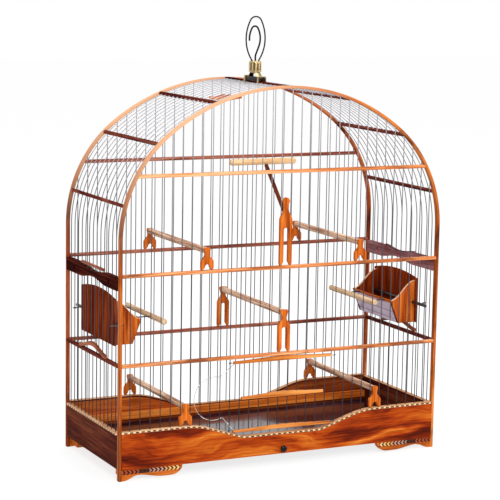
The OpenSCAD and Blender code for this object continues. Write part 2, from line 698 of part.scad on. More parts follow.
module feeder_front() {
    rotate([90, 0, 0]) linear_extrude(2 * (cheek_y - cheek_t), center = true) intersection() {
        front_sheet_outline();
        translate([150, feeder_z]) square([150, lip_z - lip_bar - feeder_z]);
    }
}
// Dark rod through both cheeks, with a wire clip round a side wire near each end.
module feeder_hanger() {
    difference() {
        translate([hang_x, hang_back, hang_z]) rotate([90, 0, 0])
            cylinder(h = hang_back - hang_front, r = hang_r);
        front_and_back() clip_wire(clip_r + wire_room, 0);
    }
    front_and_back() clip_wire(clip_r, 0.1);
}
module clip_wire(r, inset) {
    translate([hang_x + inset, clip_y + clip_bend, hang_z]) rotate([0, 90, 0])
        bent_wire([[0, half_w - hang_x - inset], [clip_bend, 180, 90 + 180], [0, 2]], r, $fn = wire_fn);
}
module feeder_stick() {
    difference() {
        translate([stick_x, stick_back, lip_z - lip_bar / 2]) rotate([90, 0, 0])
            cylinder(h = stick_back - stick_front, r = stick_r);
        brackets(bracket_r + wire_room);
    }
    brackets(bracket_r);
}
module brackets(r) {
    for (y = [-bracket_y, bracket_y]) translate([stick_x + 1, y, lip_z - lip_bar / 2])
        rotate([0, 90, 0]) cylinder(h = lip_x - stick_x, r = r, $fn = wire_fn);
}
feeder_color = [0.5, 0.2, 0.09];
module right_feeder_boards() color(feeder_color) feeder_boards();
module left_feeder_boards() color(feeder_color) turned() feeder_boards();
module right_feeder_front() color([0.85, 0.82, 0.92, 0.5]) feeder_front();
module left_feeder_front() color([0.85, 0.82, 0.92, 0.5]) turned() feeder_front();
module right_feeder_hanger() color([0.1, 0.08, 0.1]) feeder_hanger();
module left_feeder_hanger() color([0.1, 0.08, 0.1]) turned() feeder_hanger();
module right_feeder_stick() color(dowel_color) feeder_stick();
module left_feeder_stick() color(dowel_color) turned() feeder_stick();

// ---- Small trim on the back, and the hook ----

plaque_z = 572;
plaque_half = 30;
module back_plaque() color([0.7, 0.4, 0.2]) translate([-2, half_d - wire_r - 1.6, plaque_z]) plate_xz(3)
    polygon(concat([for (i = [0 : 20]) let (x = -plaque_half + 3 * i) [x, -2 - 3.5 * bump(x, plaque_half)]],
        [for (i = [20 : -1 : 0]) let (x = -plaque_half + 3 * i) [x, 2 + 3.5 * bump(x, plaque_half)]]));

saddle_z = arch_top + ridge_h / 2;
saddle_h = 7;
saddle_w = 12;
saddle_len = 56;
strap_y = 24.5;
strap_w = 5;
strap_t = 1.2;
// The hook stands a little behind the middle of the ridge.
hook_y = 4.9;
yoke_rise = 6;
yoke_w = 9;
yoke_top = saddle_z + saddle_h + yoke_rise + strap_t;
stud_r = 3;
stud_h = 13;
collar_z = yoke_top + 0.1;
collar_h = 18;
collar_r = 10.6;
collar_top = collar_z + collar_h;
module hook_saddle() color([0.12, 0.08, 0.07])
    translate([0, hook_y, saddle_z + saddle_h / 2]) bar(saddle_w, saddle_h, saddle_len, 1.2);
// Brass straps wrap the saddle and the ridge bar, and a brass yoke carries the swivel stud.
module hook_straps() color([0.78, 0.6, 0.28]) translate([0, hook_y, 0]) {
    strap_low = arch_top - ridge_h / 2 - strap_t;
    strap_high = saddle_z + saddle_h + strap_t;
    for (y = [-strap_y, strap_y]) difference() {
        translate([-saddle_w / 2 - strap_t, y - strap_w / 2, strap_low])
            cube([saddle_w + 2 * strap_t, strap_w, strap_high - strap_low]);
        translate([-saddle_w / 2, y - strap_w, strap_low + strap_t])
            cube([saddle_w, 2 * strap_w, strap_high - strap_low - 2 * strap_t]);
    }
    yoke_half = [[0, yoke_rise], [9, yoke_rise], [15, 0], [21, 0], [21, strap_t], [16, strap_t],
        [9.8, yoke_rise + strap_t], [0, yoke_rise + strap_t]];
    translate([0, 0, saddle_z + saddle_h]) plate_yz(yoke_w)
        polygon(concat(yoke_half, [for (i = [6 : -1 : 1]) [-yoke_half[i][0], yoke_half[i][1]]]));
    translate([0, 0, yoke_top - 1]) cylinder(h = stud_h + 1, r = stud_r);
}
// Hook wires, built outwards from the collar: the outer loop's two halves and the open inner hook.
loop_r = 1.2;
inner_hook_r = 1.45;
loop_foot = 5.7;
flare = 35.7;
widest = 17;
loop_rise = hook_top - loop_r - (collar_top + 60 * sin(flare));
loop_top_r = 11;
loop_side_r = (pow(loop_rise - loop_top_r, 2) + pow(widest, 2) - pow(loop_top_r, 2))
    / (2 * (widest - loop_top_r));
loop_turn = asin((loop_rise - loop_top_r) / (loop_side_r - loop_top_r));
socket = 4;
seam = 0.02;
module outer_loop() {
    translate([loop_foot, 0, collar_top]) rotate([0, flare, 0]) translate([0, 0, -socket])
        bent_wire([[0, socket], [60, flare, 180], [loop_side_r, loop_turn, 180],
            [loop_top_r, 180 - 2 * loop_turn, 180], [loop_side_r, loop_turn, 180],
            [60, flare, 180], [0, socket]], loop_r, seam);
}
hook_bend = 34.3;
hook_turn = 29.65;
module inner_hook() {
    translate([0, 0, collar_top - socket]) bent_wire([[0, socket + 6], [12, 22, 0], [0, 13],
        [hook_bend, 22 + hook_turn, 180], [6, 180 - 2 * hook_turn, 180],
        [hook_bend, hook_turn + 6, 180]], inner_hook_r, seam);
}
module hook_wires() color([0.2, 0.16, 0.13]) translate([0, hook_y, 0]) {
    $fn = wire_fn;
    outer_loop();
    inner_hook();
}
module hook_sockets() {
    both_sides() translate([loop_foot, 0, collar_top]) rotate([0, flare, 0])
        translate([0, 0, -socket - 0.1]) cylinder(h = 3 * socket, r = loop_r + wire_room);
    translate([0, 0, collar_top - socket - 0.1]) cylinder(h = 2 * socket, r = inner_hook_r + wire_room);
}
// The collar turns on the stud, and its flutes are gripped by the fingers.
module hook_collar() color([0.74, 0.58, 0.3]) translate([0, hook_y, 0]) difference() {
    translate([0, 0, collar_z]) union() {
        cylinder(h = collar_h - 2, r = collar_r);
        translate([0, 0, collar_h - 2]) cylinder(h = 2, r1 = collar_r, r2 = collar_r - 1.5);
    }
    translate([0, 0, collar_z - 1]) cylinder(h = stud_h + 1.4, r = stud_r + 0.06);
    for (a = [0 : 36 : 324]) rotate([0, 0, a]) translate([collar_r + 0.8, 0, collar_z + 3])
        cylinder(h = collar_h - 6, r = 2, $fn = 24);
    hook_sockets();
}

front_hoop();
back_hoop();
front_panel();
back_panel();
left_panel();
right_panel();
panel_edging();
corner_feet();
foot_inlay();
tray_runners();
back_ledge();
front_rails();
back_rails();
side_rails();
left_waist_plate();
right_waist_plate();
roof_cross_rails();
ridge_bar();
front_wires();
back_wires();
left_side_wires();
right_side_wires();
roof_wires();
back_plaque();
hook_saddle();
hook_straps();
tray_board();
tray_front();
tray_knob();
door_slats();
door_wires();
door_eyes();
door_spring();
left_gate_slats();
left_gate_wires();
right_gate_slats();
right_gate_wires();
upper_left_dowel();
upper_left_forks();
upper_right_dowel();
upper_right_forks();
middle_dowel();
middle_forks();
lower_left_dowel();
lower_left_forks();
lower_right_dowel();
lower_right_forks();
tee_fork();
tee_arm();
tee_bar();
left_feeder_boards();
left_feeder_front();
left_feeder_hanger();
left_feeder_stick();
right_feeder_boards();
right_feeder_front();
right_feeder_hanger();
right_feeder_stick();
hook_collar();
hook_wires();
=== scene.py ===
import math

import bpy
from mathutils import Matrix, Vector


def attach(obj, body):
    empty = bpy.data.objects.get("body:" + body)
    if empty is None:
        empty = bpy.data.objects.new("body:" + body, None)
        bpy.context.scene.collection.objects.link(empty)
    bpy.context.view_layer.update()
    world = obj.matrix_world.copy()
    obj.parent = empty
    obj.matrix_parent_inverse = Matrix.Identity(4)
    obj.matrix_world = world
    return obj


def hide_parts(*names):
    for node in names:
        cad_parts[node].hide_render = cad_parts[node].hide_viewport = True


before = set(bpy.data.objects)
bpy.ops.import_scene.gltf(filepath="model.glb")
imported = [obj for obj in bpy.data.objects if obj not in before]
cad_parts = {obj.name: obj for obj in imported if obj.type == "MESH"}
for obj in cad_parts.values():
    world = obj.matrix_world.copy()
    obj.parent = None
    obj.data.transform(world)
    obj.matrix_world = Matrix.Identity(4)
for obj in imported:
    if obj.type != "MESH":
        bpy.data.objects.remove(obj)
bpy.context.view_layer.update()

# Sizes are millimetres, as in the CAD, until a mesh is made.
MM = 0.001
HALF_W = 280.0
HALF_D = 114.35
CROWN_R = 325.5
ARCH_TOP = 604.3
SPRING_Z = 372.7
HOOP_T = 4.5
HOOP_W = 9.0
PITCH_X = 2 * HALF_W / 33
PITCH_Y = 2 * HALF_D / 14
WIRE_R = 0.72
OUTER_D = HALF_D + HOOP_W / 2
INNER_D = HALF_D - HOOP_W / 2
POST_IN = HALF_W - HOOP_T / 2
PLATE_OUT = 284.2

CROWN_C = ARCH_TOP - CROWN_R
SIDE_R = (CROWN_R**2 - HALF_W**2 - (SPRING_Z - CROWN_C) ** 2) / (2 * CROWN_R - 2 * HALF_W)
SIDE_C = HALF_W - SIDE_R
TURN = math.atan2(SPRING_Z - CROWN_C, SIDE_C)

EDGING_H = 3.4
# Wavy top edge of the front and back panels: a small arc out of the dip, a slope, a large arc.
DIP_Z, END_Z, DIP_HALF, DIP_R, TOP_R = 52.0, 77.5, 65.0, 30.0, 150.0
SLOPE = math.radians(18.2)
DIP_END = DIP_HALF + DIP_R * math.sin(SLOPE)
SLOPE_Z = DIP_Z + DIP_R * (1 - math.cos(SLOPE))
TOP_START = DIP_END + (END_Z - SLOPE_Z - TOP_R * (1 - math.cos(SLOPE))) / math.tan(SLOPE)
CROWN_HALF = TOP_START + TOP_R * math.sin(SLOPE)

# Each side gate stands half a pitch off the middle, where its waist plate narrows.
GATE_Y, NARROW, PLATE_DIP = PITCH_Y / 2, 58.0, 5.7


# ---------------------------------------------------------------- shapes in mesh code


def arch_point(a):
    """Middle line of the arch at normal angle a in radians, right half."""
    if a < TURN:
        return SIDE_C + SIDE_R * math.cos(a), SPRING_Z + SIDE_R * math.sin(a)
    return CROWN_R * math.cos(a), CROWN_C + CROWN_R * math.sin(a)


def bump(u, half):
    """Raised cosine: 1 in the middle, 0 at -half and half."""
    return (1 + math.cos(math.pi * u / half)) / 2


def panel_top(x):
    """Height of the front and back panels' wavy top edge."""
    x = abs(x)
    if x <= DIP_HALF:
        return DIP_Z
    if x >= CROWN_HALF:
        return END_Z
    if x < DIP_END:
        return DIP_Z + DIP_R - math.sqrt(DIP_R**2 - (x - DIP_HALF) ** 2)
    if x < TOP_START:
        return SLOPE_Z + (x - DIP_END) * math.tan(SLOPE)
    return END_Z - TOP_R + math.sqrt(TOP_R**2 - (CROWN_HALF - x) ** 2)


def arange(lo, hi, steps):
    return [lo + (hi - lo) * i / steps for i in range(steps + 1)]


class Build:
    """Gathers the bits of one piece. Each vertex carries its grain place: x runs along the wood."""

    def __init__(self, seed=0.0):
        self.verts, self.faces, self.grain, self.mats = [], [], [], []
        self.seed = seed

    def add(self, verts, faces, grain, mat=0):
        start = len(self.verts)
        self.verts += [tuple(v) for v in verts]
        self.grain += [tuple(g) for g in grain]
        self.faces += [tuple(start + i for i in f) for f in faces]
        self.mats += [mat] * len(faces)

    def sweep(self, frames, profile, mat=0, closed=False, shift=0.0):
        """Skins a closed 2-D profile along frames of (place, first axis, second axis)."""
        verts, grain, faces = [], [], []
        n, along = len(profile), shift
        for i, (p, a, b) in enumerate(frames):
            if i:
                along += (Vector(p) - Vector(frames[i - 1][0])).length
            for u, v in profile:
                verts.append(Vector(p) + Vector(a) * u + Vector(b) * v)
                grain.append((along, u, v))
        rings = len(frames)
        for i in range(rings if closed else rings - 1):
            j = (i + 1) % rings
            for k in range(n):
                m = (k + 1) % n
                faces.append((i * n + k, i * n + m, j * n + m, j * n + k))
        if not closed:
            faces.append(tuple(reversed(range(n))))
            faces.append(tuple((rings - 1) * n + k for k in range(n)))
        self.add(verts, faces, grain, mat)

    def tube(self, points, radius, sides=14, mat=0, ends=0.0, shift=0.0):
        """Round wire or rod through points, with its ends rounded over by a share of the radius."""
        pts = [Vector(p) for p in points]
        tangents = [(pts[min(i + 1, len(pts) - 1)] - pts[max(i - 1, 0)]).normalized()
                    for i in range(len(pts))]
        side = tangents[0].orthogonal().normalized()
        radii = [radius] * len(pts)
        if ends:
            cap = radius * ends
            first, last = pts[0], pts[-1]
            pts = [first, first + tangents[0] * cap * 0.3] + [first + tangents[0] * cap] + pts[1:-1] \
                + [last - tangents[-1] * cap, last - tangents[-1] * cap * 0.3, last]
            tangents = [tangents[0]] * 3 + tangents[1:-1] + [tangents[-1]] * 3
            radii = [radius - cap, radius - cap * 0.3, radius] + [radius] * (len(pts) - 6) \
                + [radius, radius - cap * 0.3, radius - cap]
        verts, grain, faces, along = [], [], [], shift
        for i, p in enumerate(pts):
            if i:
                along += (p - pts[i - 1]).length
            side = (side - tangents[i] * side.dot(tangents[i])).normalized()
            other = tangents[i].cross(side)
            for k in range(sides):
                a = 2 * math.pi * k / sides
                c, s = math.cos(a) * radii[i], math.sin(a) * radii[i]
                verts.append(p + side * c + other * s)
                grain.append((along, c, s))
        for i in range(len(pts) - 1):
            for k in range(sides):
                m = (k + 1) % sides
                faces.append((i * sides + k, i * sides + m, (i + 1) * sides + m, (i + 1) * sides + k))
        faces.append(tuple(reversed(range(sides))))
        faces.append(tuple((len(pts) - 1) * sides + k for k in range(sides)))
        self.add(verts, faces, grain, mat)

    def lathe(self, profile, place, sides=40, mat=0):
        """Turns (radius, height) pairs about Z, or about the axis that the matrix place gives."""
        verts, grain, faces = [], [], []
        for r, z in profile:
            for k in range(sides):
                a = 2 * math.pi * k / sides
                verts.append(place @ Vector((r * math.cos(a), r * math.sin(a), z)))
                grain.append((z, r * math.cos(a), r * math.sin(a)))
        for i in range(len(profile) - 1):
            for k in range(sides):
                m = (k + 1) % sides
                faces.append((i * sides + k, i * sides + m, (i + 1) * sides + m, (i + 1) * sides + k))
        faces.append(tuple(reversed(range(sides))))
        faces.append(tuple((len(profile) - 1) * sides + k for k in range(sides)))
        self.add(verts, faces, grain, mat)

    def plate(self, outline, thick, place, round_over=0.6, along=(1, 0), mat=0):
        """A board of that outline with eased edges, its middle on the plane of the matrix place."""
        area = sum(p[0] * q[1] - q[0] * p[1] for p, q in zip(outline, outline[1:] + outline[:1]))
        pts = [Vector(p) for p in (outline if area > 0 else outline[::-1])]
        n = len(pts)
        inward = []
        for i, p in enumerate(pts):
            e0 = (p - pts[i - 1]).normalized()
            e1 = (pts[(i + 1) % n] - p).normalized()
            n0, n1 = Vector((-e0.y, e0.x)), Vector((-e1.y, e1.x))
            miter = (n0 + n1).normalized()
            inward.append(miter * min(1.6, 1 / max(0.3, miter.dot(n0))))
        h, b = thick / 2, round_over
        rings = [(-h, b), (-h + 0.3 * b, 0.3 * b), (-h + b, 0), (h - b, 0), (h - 0.3 * b, 0.3 * b), (h, b)]
        g = Vector(along).normalized()
        verts, grain, faces = [], [], []
        for w, inset in rings:
            for p, m in zip(pts, inward):
                q = p + m * inset
                verts.append(place @ Vector((q.x, q.y, w)))
                grain.append((q.dot(g), -q.x * g.y + q.y * g.x, w))
        for i in range(len(rings) - 1):
            for k in range(n):
                m = (k + 1) % n
                faces.append((i * n + k, i * n + m, (i + 1) * n + m, (i + 1) * n + k))
        faces.append(tuple(reversed(range(n))))
        faces.append(tuple((len(rings) - 1) * n + k for k in range(n)))
        self.add(verts, faces, grain, mat)
        return len(faces)

    def box(self, lo, hi, round_over=0.5, along="x", mat=0):
        """A block between two corners, with eased edges and its grain along one axis."""
        lo, hi = Vector(lo), Vector(hi)
        mid, size = (lo + hi) / 2, hi - lo
        if along == "z":
            place = Matrix.Translation(mid) @ FACING_X
            outline, thick = [(-size.y, -size.z), (size.y, -size.z), (size.y, size.z), (-size.y, size.z)], size.x
            g = (0, 1)
        elif along == "y":
            place = Matrix.Translation(mid) @ FACING_X
            outline, thick = [(-size.y, -size.z), (size.y, -size.z), (size.y, size.z), (-size.y, size.z)], size.x
            g = (1, 0)
        else:
            place = Matrix.Translation(mid) @ FACING_Y
            outline, thick = [(-size.x, -size.z), (size.x, -size.z), (size.x, size.z), (-size.x, size.z)], size.y
            g = (1, 0)
        self.plate([(u / 2, v / 2) for u, v in outline], thick, place, round_over, g, mat)

    def done(self, name, body, slot, mats, stands_for=(), place=None, smooth=38):
        mesh = bpy.data.meshes.new(name)
        move = (place or Matrix.Identity(4))
        mesh.from_pydata([move @ Vector(v) * MM if place is None else (move @ Vector(v)) * MM
                          for v in self.verts], [], self.faces)
        layer = mesh.attributes.new("grain", "FLOAT_VECTOR", "POINT")
        flat = []
        for g in self.grain:
            flat += [g[0] * MM + self.seed, g[1] * MM + self.seed * 0.37, g[2] * MM]
        layer.data.foreach_set("vector", flat)
        for m in mats:
            mesh.materials.append(m)
        for face, m in zip(mesh.polygons, self.mats):
            face.material_index = m
        smooth_shade(mesh, smooth)
        mesh.validate()
        obj = bpy.data.objects.new(name, mesh)
        bpy.context.scene.collection.objects.link(obj)
        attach(obj, body)
        if stands_for:
            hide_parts(*stands_for)
        return obj


def smooth_shade(mesh, degrees):
    mesh.polygons.foreach_set("use_smooth", [True] * len(mesh.polygons))
    mesh.set_sharp_from_angle(angle=math.radians(degrees))


# An outline's (u, v) lands on (x, z) and faces Y, on (y, z) and faces X, or on (x, y) and faces Z.
FACING_Y = Matrix(((1, 0, 0, 0), (0, 0, -1, 0), (0, 1, 0, 0), (0, 0, 0, 1)))
FACING_X = Matrix(((0, 0, 1, 0), (1, 0, 0, 0), (0, 1, 0, 0), (0, 0, 0, 1)))
HALF_TURN = Matrix.Rotation(math.pi, 4, "Z")


def at(x, y, z):
    return Matrix.Translation((x, y, z))


# ---------------------------------------------------------------- materials


class Shader:
    """A material's node tree, with a short call for each kind of node it needs."""

    def __init__(self, name):
        self.mat = bpy.data.materials.new(name)
        self.mat.use_nodes = True
        self.tree = self.mat.node_tree
        self.out = self.tree.nodes["Principled BSDF"]

    def node(self, kind, **values):
        n = self.tree.nodes.new(kind)
        for key, value in values.items():
            setattr(n, key, value)
        return n

    def link(self, a, b):
        self.tree.links.new(a, b)
        return b

    def grain(self, scale, turn=(0, 0, 0), shift=(0, 0, 0)):
        src = self.node("ShaderNodeAttribute", attribute_name="grain")
        m = self.node("ShaderNodeMapping")
        m.inputs["Location"].default_value = shift
        m.inputs["Rotation"].default_value = [math.radians(t) for t in turn]
        m.inputs["Scale"].default_value = scale
        self.link(src.outputs["Vector"], m.inputs["Vector"])
        return m.outputs["Vector"]

    def noise(self, vector, scale=1.0, detail=4.0, rough=0.55, distortion=0.0):
        n = self.node("ShaderNodeTexNoise")
        n.inputs["Scale"].default_value = scale
        n.inputs["Detail"].default_value = detail
        n.inputs["Roughness"].default_value = rough
        n.inputs["Distortion"].default_value = distortion
        self.link(vector, n.inputs["Vector"])
        return n.outputs["Fac"]

    def math(self, how, a, b=0.0, c=None):
        n = self.node("ShaderNodeMath", operation=how)
        for i, v in enumerate((a, b, c)):
            if v is None:
                continue
            if isinstance(v, (int, float)):
                n.inputs[i].default_value = v
            else:
                self.link(v, n.inputs[i])
        return n.outputs[0]

    def band(self, value, lo, hi, to_lo=0.0, to_hi=1.0):
        n = self.node("ShaderNodeMapRange", interpolation_type="SMOOTHSTEP")
        n.inputs["From Min"].default_value = lo
        n.inputs["From Max"].default_value = hi
        n.inputs["To Min"].default_value = to_lo
        n.inputs["To Max"].default_value = to_hi
        self.link(value, n.inputs["Value"])
        return n.outputs["Result"]

    def ramp(self, value, stops):
        n = self.node("ShaderNodeValToRGB")
        ramp = n.color_ramp
        while len(ramp.elements) < len(stops):
            ramp.elements.new(0.5)
        for e, (place, colour) in zip(ramp.elements, stops):
            e.position = place
            e.color = (*colour, 1)
        self.link(value, n.inputs["Fac"])
        return n.outputs["Color"]

    def mix(self, fac, a, b, how="MIX"):
        n = self.node("ShaderNodeMix", data_type="RGBA", blend_type=how)
        for name, v in (("Factor", fac), ("A", a), ("B", b)):
            socket = [s for s in n.inputs if s.name == name and s.enabled][0]
            if isinstance(v, (int, float)):
                socket.default_value = v
            elif isinstance(v, tuple):
                socket.default_value = (*v, 1)
            else:
                self.link(v, socket)
        return [s for s in n.outputs if s.enabled][0]

    def bump(self, height, strength, distance):
        n = self.node("ShaderNodeBump")
        n.inputs["Strength"].default_value = strength
        n.inputs["Distance"].default_value = distance
        self.link(height, n.inputs["Height"])
        self.link(n.outputs["Normal"], self.out.inputs["Normal"])

    def set(self, **values):
        for key, value in values.items():
            socket = self.out.inputs[key.replace("_", " ")]
            if isinstance(value, bpy.types.NodeSocket):
                self.link(value, socket)
            elif isinstance(value, tuple):
                socket.default_value = (*value, 1)
            else:
                socket.default_value = value


def wood(name, dark, mid, light, fibre=0.4, figure=0.6, patch=0.35, patch_colour=None,
         rough=0.3, coat=0.03, shine=0.03, relief=0.12, figure_scale=(5, 75, 75), contrast=(0.3, 0.7),
         painted_light=None):
    """Varnished wood: fine fibres, broad figure and darker patches, all stretched along the grain.

    The last argument, the painted light, is a place along the grain and a reach, in metres, and the colour painted
    there: a painted highlight on the hoop crowns, painted shade at the right end of the back panel."""
    s = Shader(name)
    fibres = s.noise(s.grain((14, 520, 520)), detail=5, rough=0.62)
    broad = s.noise(s.grain(figure_scale, shift=(3, 1, 7)), detail=3, distortion=0.8)
    value = s.math("MULTIPLY_ADD", fibres, fibre, s.math("MULTIPLY", broad, figure))
    value = s.band(value, contrast[0], contrast[1])
    colour = s.ramp(value, [(0.0, dark), (0.5, mid), (1.0, light)])
    patches = s.noise(s.grain((16, 45, 45), shift=(11, 5, 2)), detail=3, rough=0.5)
    patches = s.band(patches, 0.52, 0.68, 0.0, patch)
    colour = s.mix(patches, colour, patch_colour or dark)
    pores = s.noise(s.grain((60, 1500, 1500), shift=(1, 9, 4)), detail=2)
    colour = s.mix(s.band(pores, 0.6, 0.72, 0.0, 0.45), colour, tuple(c * 0.45 for c in dark))
    # Painted light: near that place along the grain the colour fades to a painted highlight or a painted shade.
    if painted_light:
        centre, reach, painted_tone = painted_light
        split = s.node("ShaderNodeSeparateXYZ")
        s.link(s.grain((1, 1, 1)), split.inputs[0])
        away = s.math("ABSOLUTE", s.math("SUBTRACT", split.outputs["X"], centre))
        share = s.band(s.math("MULTIPLY_ADD", fibres, 0.1, away), reach, 0.08, 0.0, 0.8)
        colour = s.mix(share, colour, painted_tone)
    s.set(Base_Color=colour, Roughness=s.band(fibres, 0.3, 0.7, rough + 0.1, rough - 0.05),
          Specular_IOR_Level=shine, Coat_Weight=coat, Coat_Roughness=0.12)
    s.bump(s.math("ADD", fibres, s.math("MULTIPLY", pores, 0.5)), relief, 0.0004)
    return s.mat


# Painted highlight: the hoops' crowns fade to a pale peach, standing for the light falling on them from above.
CROWN_PAINTED_HIGHLIGHT = (0.92, 0.36, (0.74, 0.42, 0.24))
HOOP_WOOD = wood("hoop_wood", (0.085, 0.013, 0.002), (0.40, 0.088, 0.011), (0.66, 0.24, 0.055),
                 patch=0.85, patch_colour=(0.06, 0.008, 0.002), rough=0.28, coat=0.06,
                 painted_light=CROWN_PAINTED_HIGHLIGHT)
BACK_HOOP = wood("back_hoop_wood", (0.060, 0.010, 0.003), (0.34, 0.068, 0.017), (0.58, 0.20, 0.070),
                 patch=0.9, patch_colour=(0.035, 0.005, 0.003), rough=0.28, coat=0.03, shine=0.0,
                 painted_light=CROWN_PAINTED_HIGHLIGHT)
# Painted shade: the back panel darkens towards its right end, where it stands in shadow.
PANEL_WOOD = wood("panel_wood", (0.13, 0.018, 0.002), (0.40, 0.075, 0.010), (0.60, 0.17, 0.030),
                  painted_light=(1.58, 0.40, (0.11, 0.018, 0.005)))
SIDE_WOOD = wood("side_wood", (0.018, 0.003, 0.002), (0.075, 0.011, 0.005), (0.17, 0.042, 0.018), rough=0.25,
                 coat=0.05, shine=0.0)
FOOT_WOOD = wood("foot_wood", (0.16, 0.028, 0.003), (0.42, 0.092, 0.010), (0.60, 0.18, 0.028), patch=0.3)
PALE_WOOD = wood("pale_wood", (0.30, 0.050, 0.005), (0.58, 0.14, 0.016), (0.74, 0.27, 0.055), patch=0.2, rough=0.4)
RAIL_WOOD = wood("rail_wood", (0.18, 0.035, 0.009), (0.60, 0.20, 0.062), (0.82, 0.44, 0.22), patch=0.7,
                 patch_colour=(0.10, 0.018, 0.010), contrast=(0.34, 0.66))
REAR_WOOD = wood("rear_rail_wood", (0.060, 0.010, 0.008), (0.28, 0.080, 0.050), (0.52, 0.22, 0.14), patch=0.75,
                 patch_colour=(0.05, 0.008, 0.007), coat=0.02, shine=0.0)
DIM_RAIL = wood("side_rail_wood", (0.035, 0.006, 0.005), (0.14, 0.028, 0.018), (0.32, 0.10, 0.065), patch=0.5,
                coat=0.02, shine=0.0)
DARK_WOOD = wood("dark_wood", (0.012, 0.0015, 0.001), (0.038, 0.004, 0.002), (0.11, 0.019, 0.008), rough=0.24,
                 coat=0.02, shine=0.0)
PLUM_WOOD = wood("plum_wood", (0.090, 0.024, 0.024), (0.23, 0.085, 0.090), (0.34, 0.17, 0.18), rough=0.24,
                 coat=0.02, shine=0.0)
WINE_WOOD = wood("wine_wood", (0.032, 0.005, 0.003), (0.105, 0.017, 0.011), (0.28, 0.075, 0.045), rough=0.24,
                 coat=0.02, shine=0.0)
SLAT_WOOD = wood("slat_wood", (0.26, 0.055, 0.007), (0.52, 0.16, 0.028), (0.70, 0.30, 0.08), patch=0.25)
GATE_WOOD = wood("gate_wood", (0.07, 0.012, 0.004), (0.22, 0.050, 0.016), (0.42, 0.13, 0.05), patch=0.3)
FORK_WOOD = wood("fork_wood", (0.18, 0.028, 0.003), (0.50, 0.105, 0.010), (0.68, 0.20, 0.030), patch=0.4,
                 figure_scale=(12, 120, 120))
FEEDER_WOOD = wood("feeder_wood", (0.045, 0.004, 0.001), (0.175, 0.019, 0.002), (0.31, 0.055, 0.008), patch=0.4,
                   figure_scale=(8, 95, 95), coat=0.02, shine=0.0)
FEEDER_CHEEK = wood("feeder_cheek", (0.15, 0.020, 0.002), (0.44, 0.084, 0.009), (0.62, 0.18, 0.028), patch=0.2,
                    figure_scale=(8, 130, 130), contrast=(0.36, 0.64))
# Painted highlight: a pale tone for the feeder cheeks' curved top edge, standing for the shine on the varnished edge.
FEEDER_EDGE_HIGHLIGHT = wood("feeder_edge_painted_highlight", (0.45, 0.22, 0.12), (0.62, 0.38, 0.25), (0.78, 0.58, 0.44), patch=0.1)
EBONY = wood("ebony", (0.003, 0.002, 0.002), (0.007, 0.004, 0.004), (0.02, 0.009, 0.007), rough=0.16, coat=0.25)
TEE_WOOD = wood("tee_wood", (0.025, 0.004, 0.002), (0.10, 0.018, 0.005), (0.22, 0.055, 0.015), rough=0.3)
DOWEL = wood("dowel", (0.18, 0.080, 0.045), (0.54, 0.32, 0.215), (0.88, 0.66, 0.48), patch=0.35, rough=0.55,
             coat=0.0, relief=0.25, figure_scale=(9, 200, 200))
PALE_BAR = wood("pale_bar", (0.50, 0.28, 0.12), (0.72, 0.46, 0.24), (0.84, 0.62, 0.38), patch=0.15, rough=0.5,
                coat=0.0, relief=0.2, figure_scale=(9, 200, 200))


PALE_STICK = wood("pale_stick", (0.30, 0.17, 0.085), (0.62, 0.42, 0.25), (0.82, 0.64, 0.43), patch=0.2, rough=0.5,
                  coat=0.0, relief=0.2, figure_scale=(9, 200, 200))


def veneer():
    """Glossy figured veneer: orange ground, slanting dark streaks, pale flames low in the middle."""
    s = Shader("front_veneer")
    warp = s.noise(s.grain((7, 16, 16), shift=(2, 0, 5)), detail=3, rough=0.5)
    place = s.grain((3.6, 34, 34), turn=(0, 0, 8))
    split = s.node("ShaderNodeSeparateXYZ")
    s.link(place, split.inputs[0])
    join = s.node("ShaderNodeCombineXYZ")
    s.link(split.outputs["X"], join.inputs["X"])
    s.link(s.math("MULTIPLY_ADD", warp, 2.2, split.outputs["Y"]), join.inputs["Y"])
    s.link(split.outputs["Z"], join.inputs["Z"])
    figure = s.noise(join.outputs[0], detail=5, rough=0.62, distortion=0.35)
    fibres = s.noise(s.grain((11, 480, 480), turn=(0, 0, 4)), detail=5, rough=0.65)
    value = s.math("MULTIPLY_ADD", fibres, 0.22, s.math("MULTIPLY", figure, 0.85))
    # Darker towards the left end, with two dark clouds on the right and a flame near the left foot.
    where = s.node("ShaderNodeSeparateXYZ")
    s.link(s.grain((1, 1, 1)), where.inputs[0])
    x, z = where.outputs["X"], where.outputs["Y"]
    value = s.math("SUBTRACT", value, s.band(x, 0.30, 0.14, 0.0, 0.05))
    value = s.math("SUBTRACT", value, s.band(x, 0.42, 0.52, 0.0, 0.07))
    for cx, cz, rx, rz, tilt, depth in (
            (0.525, 0.050, 0.085, 0.015, 0.14, 0.36), (0.600, 0.060, 0.070, 0.010, 0.12, 0.30),
            (0.185, 0.060, 0.080, 0.010, -0.05, 0.12), (0.255, 0.027, 0.060, 0.007, 0.05, -0.16),
            (0.420, 0.040, 0.050, 0.006, 0.03, -0.06)):
        u = s.math("MULTIPLY", s.math("SUBTRACT", x, cx), 1 / rx)
        v = s.math("MULTIPLY_ADD", s.math("SUBTRACT", x, cx), -tilt, s.math("SUBTRACT", z, cz))
        v = s.math("MULTIPLY_ADD", s.math("SUBTRACT", warp, 0.5), 2.0, s.math("MULTIPLY", v, 1 / rz))
        far = s.math("ADD", s.math("MULTIPLY", u, u), s.math("MULTIPLY", v, v))
        value = s.math("SUBTRACT", value, s.band(far, 1.3, 0.1, 0.0, depth))
    colour = s.ramp(s.band(value, 0.30, 0.74), [
        (0.0, (0.035, 0.003, 0.001)), (0.22, (0.14, 0.012, 0.001)), (0.45, (0.32, 0.038, 0.002)),
        (0.72, (0.47, 0.108, 0.009)), (1.0, (0.74, 0.30, 0.065))])
    s.set(Base_Color=colour, Roughness=s.band(fibres, 0.3, 0.7, 0.3, 0.2), Specular_IOR_Level=0.03,
          Coat_Weight=0.05, Coat_Roughness=0.07)
    s.bump(fibres, 0.06, 0.0003)
    return s.mat


